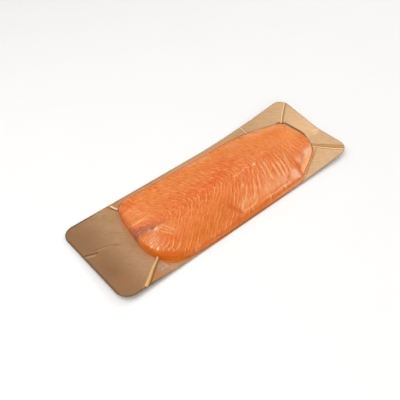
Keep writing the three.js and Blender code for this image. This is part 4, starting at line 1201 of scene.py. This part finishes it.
def build_film(looks):
    """One sheet over the salmon and the card, with the pleats standing on it as rounded folds."""
    outline, edge = loops_between_pleats(FILM_COLUMNS)
    sheet = Sheet(outline, FILM_COLUMNS, FILM_LOOPS)
    gap = np.hypot(*(edge - outline).T)
    shares = [np.minimum(reach / gap, LARGEST_SHARE * k / len(LOOPS_BEYOND))
              for k, reach in enumerate(LOOPS_BEYOND, 1)]
    shares += [lerp(shares[-1], 1, part) for part in SHARES_OF_REST]
    for share in shares:
        sheet.loop(outline + share[:, None] * (edge - outline))
    x, y = np.concatenate(sheet.points).T
    rim = rim_distance(x, y)
    relief = flake_relief(x, y, np.maximum(rim, 0), flake_coordinate(x, y))

    # Gathers where the film turns down over the two corners of the head end, and slack further out.
    turn = np.degrees(np.arctan2(y, x - GATHER_CENTRE_X))
    over_rim = ridge(rim, 1.5, 5)
    gathers = np.cos(2 * np.pi * (turn + 4 * noise(x, y, 12, 22)) / GATHER_PITCH)
    corner = np.maximum(*(spot(x, y, *numbers) for numbers in GATHER_SPOTS))
    slack = SLACK_HEIGHT * noise(x, y, 16, 23) * rise(-rim, (2, 8))
    z = (film_underside(x, y, rim) + FILM_RISE + FLAKES_THROUGH_FILM * relief
         + GATHER_HEIGHT * gathers * over_rim * corner + slack)
    points = [np.stack([x, y, z], 1)]
    values = [film_clouds(x, y, rim, over_rim * corner * (gathers > 0.3))]

    # The pleats, each a grid of points with its own colours across.
    degrees = np.linspace(0, 180, FOLD_POINTS_AROUND)
    folds = []
    for pleat, (*drawn, stops) in zip(PLEATS, FOLDS):
        points.append(fold_points(*pleat, *drawn))
        places, *colours = np.transpose(stops)
        colours = [np.interp(degrees, places, colour) for colour in colours]
        values.append(np.tile(colours, FOLD_STATIONS))
        numbers = sheet.add(points[-1])
        folds.append(grid_faces(numbers.reshape(FOLD_STATIONS, FOLD_POINTS_AROUND)))
    flat, folds = np.concatenate(sheet.faces), np.concatenate(folds)
    kinds = np.repeat([0, 1], [len(flat), len(folds)])
    values = dict(zip(("haze", "warm", "brown"), np.concatenate(values, 1)))
    faces = np.concatenate([flat, folds])
    return make_object("film", np.concatenate(points), faces, values, looks, kinds)


# -------- stage

def build_floor(look):
    mesh = bpy.data.meshes.new("floor")
    reach = 3.0
    low = -0.0003
    corners = [(-reach, -reach, low), (reach, -reach, low), (reach, reach, low), (-reach, reach, low)]
    mesh.from_pydata(corners, [], [(0, 1, 2, 3)])
    mesh.materials.append(look)
    return put("floor", mesh)


def aimed(azimuth, elevation, distance, target=(0, 0, 0), roll=0.0):
    """The place of a lamp or camera that looks at a target. Azimuth 0 is along -Y, 90 along +X."""
    matrix = Matrix.Translation(target)
    for angle, axis in ((azimuth, "Z"), (90 - elevation, "X"), (roll, "Z")):
        matrix = matrix @ Matrix.Rotation(math.radians(angle), 4, axis)
    return matrix @ Matrix.Translation((0, 0, distance))


def softbox(name, azimuth, elevation, distance, size, power, colour):
    """A square area light that faces the pack."""
    light = bpy.data.lights.new(name, "AREA")
    light.size = size
    light.energy = power
    light.color = colour
    put(name, light).matrix_world = aimed(azimuth, elevation, distance)


def light_stage():
    world = bpy.data.worlds.new("studio")
    world.use_nodes = True
    background = world.node_tree.nodes["Background"]
    background.inputs["Color"].default_value = (1.0, 0.99, 0.98, 1)
    background.inputs["Strength"].default_value = 0.4
    bpy.context.scene.world = world
    softbox("overhead", 250, 68, 1.6, 1.5, 14, (1.0, 0.985, 0.965))
    softbox("right_back", 102, 40, 1.7, 0.9, 6, (1.0, 0.99, 0.975))
    softbox("front_fill", -35, 38, 1.8, 1.1, 9, (1.0, 0.99, 0.98))


def place_camera():
    """The camera at the photo's angle."""
    data = bpy.data.cameras.new("camera")
    data.sensor_width = SENSOR_WIDTH
    data.lens = FOCAL_SHARE_OF_WIDTH * SENSOR_WIDTH
    data.clip_start, data.clip_end = 0.01, 20
    camera = put("camera", data)
    camera.matrix_world = aimed(CAMERA_AZIMUTH, CAMERA_ELEVATION, CAMERA_DISTANCE * MM,
                                Vector(CAMERA_TARGET) * MM, CAMERA_ROLL)
    bpy.context.scene.camera = camera


# -------- assembly

place_camera()
light_stage()
bpy.context.scene.view_settings.view_transform = "Standard"
build_floor(floor_look())

card = build_card(card_look())
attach(card, "root")
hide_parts("gold_card")

salmon = build_salmon(salmon_look())
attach(salmon, "root")
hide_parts("salmon_side")

film = build_film([
    film_look("clear_film", 0.6, (250, 210, 166), (238, 126, 30), (0.985, 0.98, 0.97, 1)),
    film_look("clear_film_folded", 0.85, (255, 236, 200), (218, 146, 56), (0.95, 0.88, 0.76, 1)),
])
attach(film, "root")
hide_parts("clear_film")
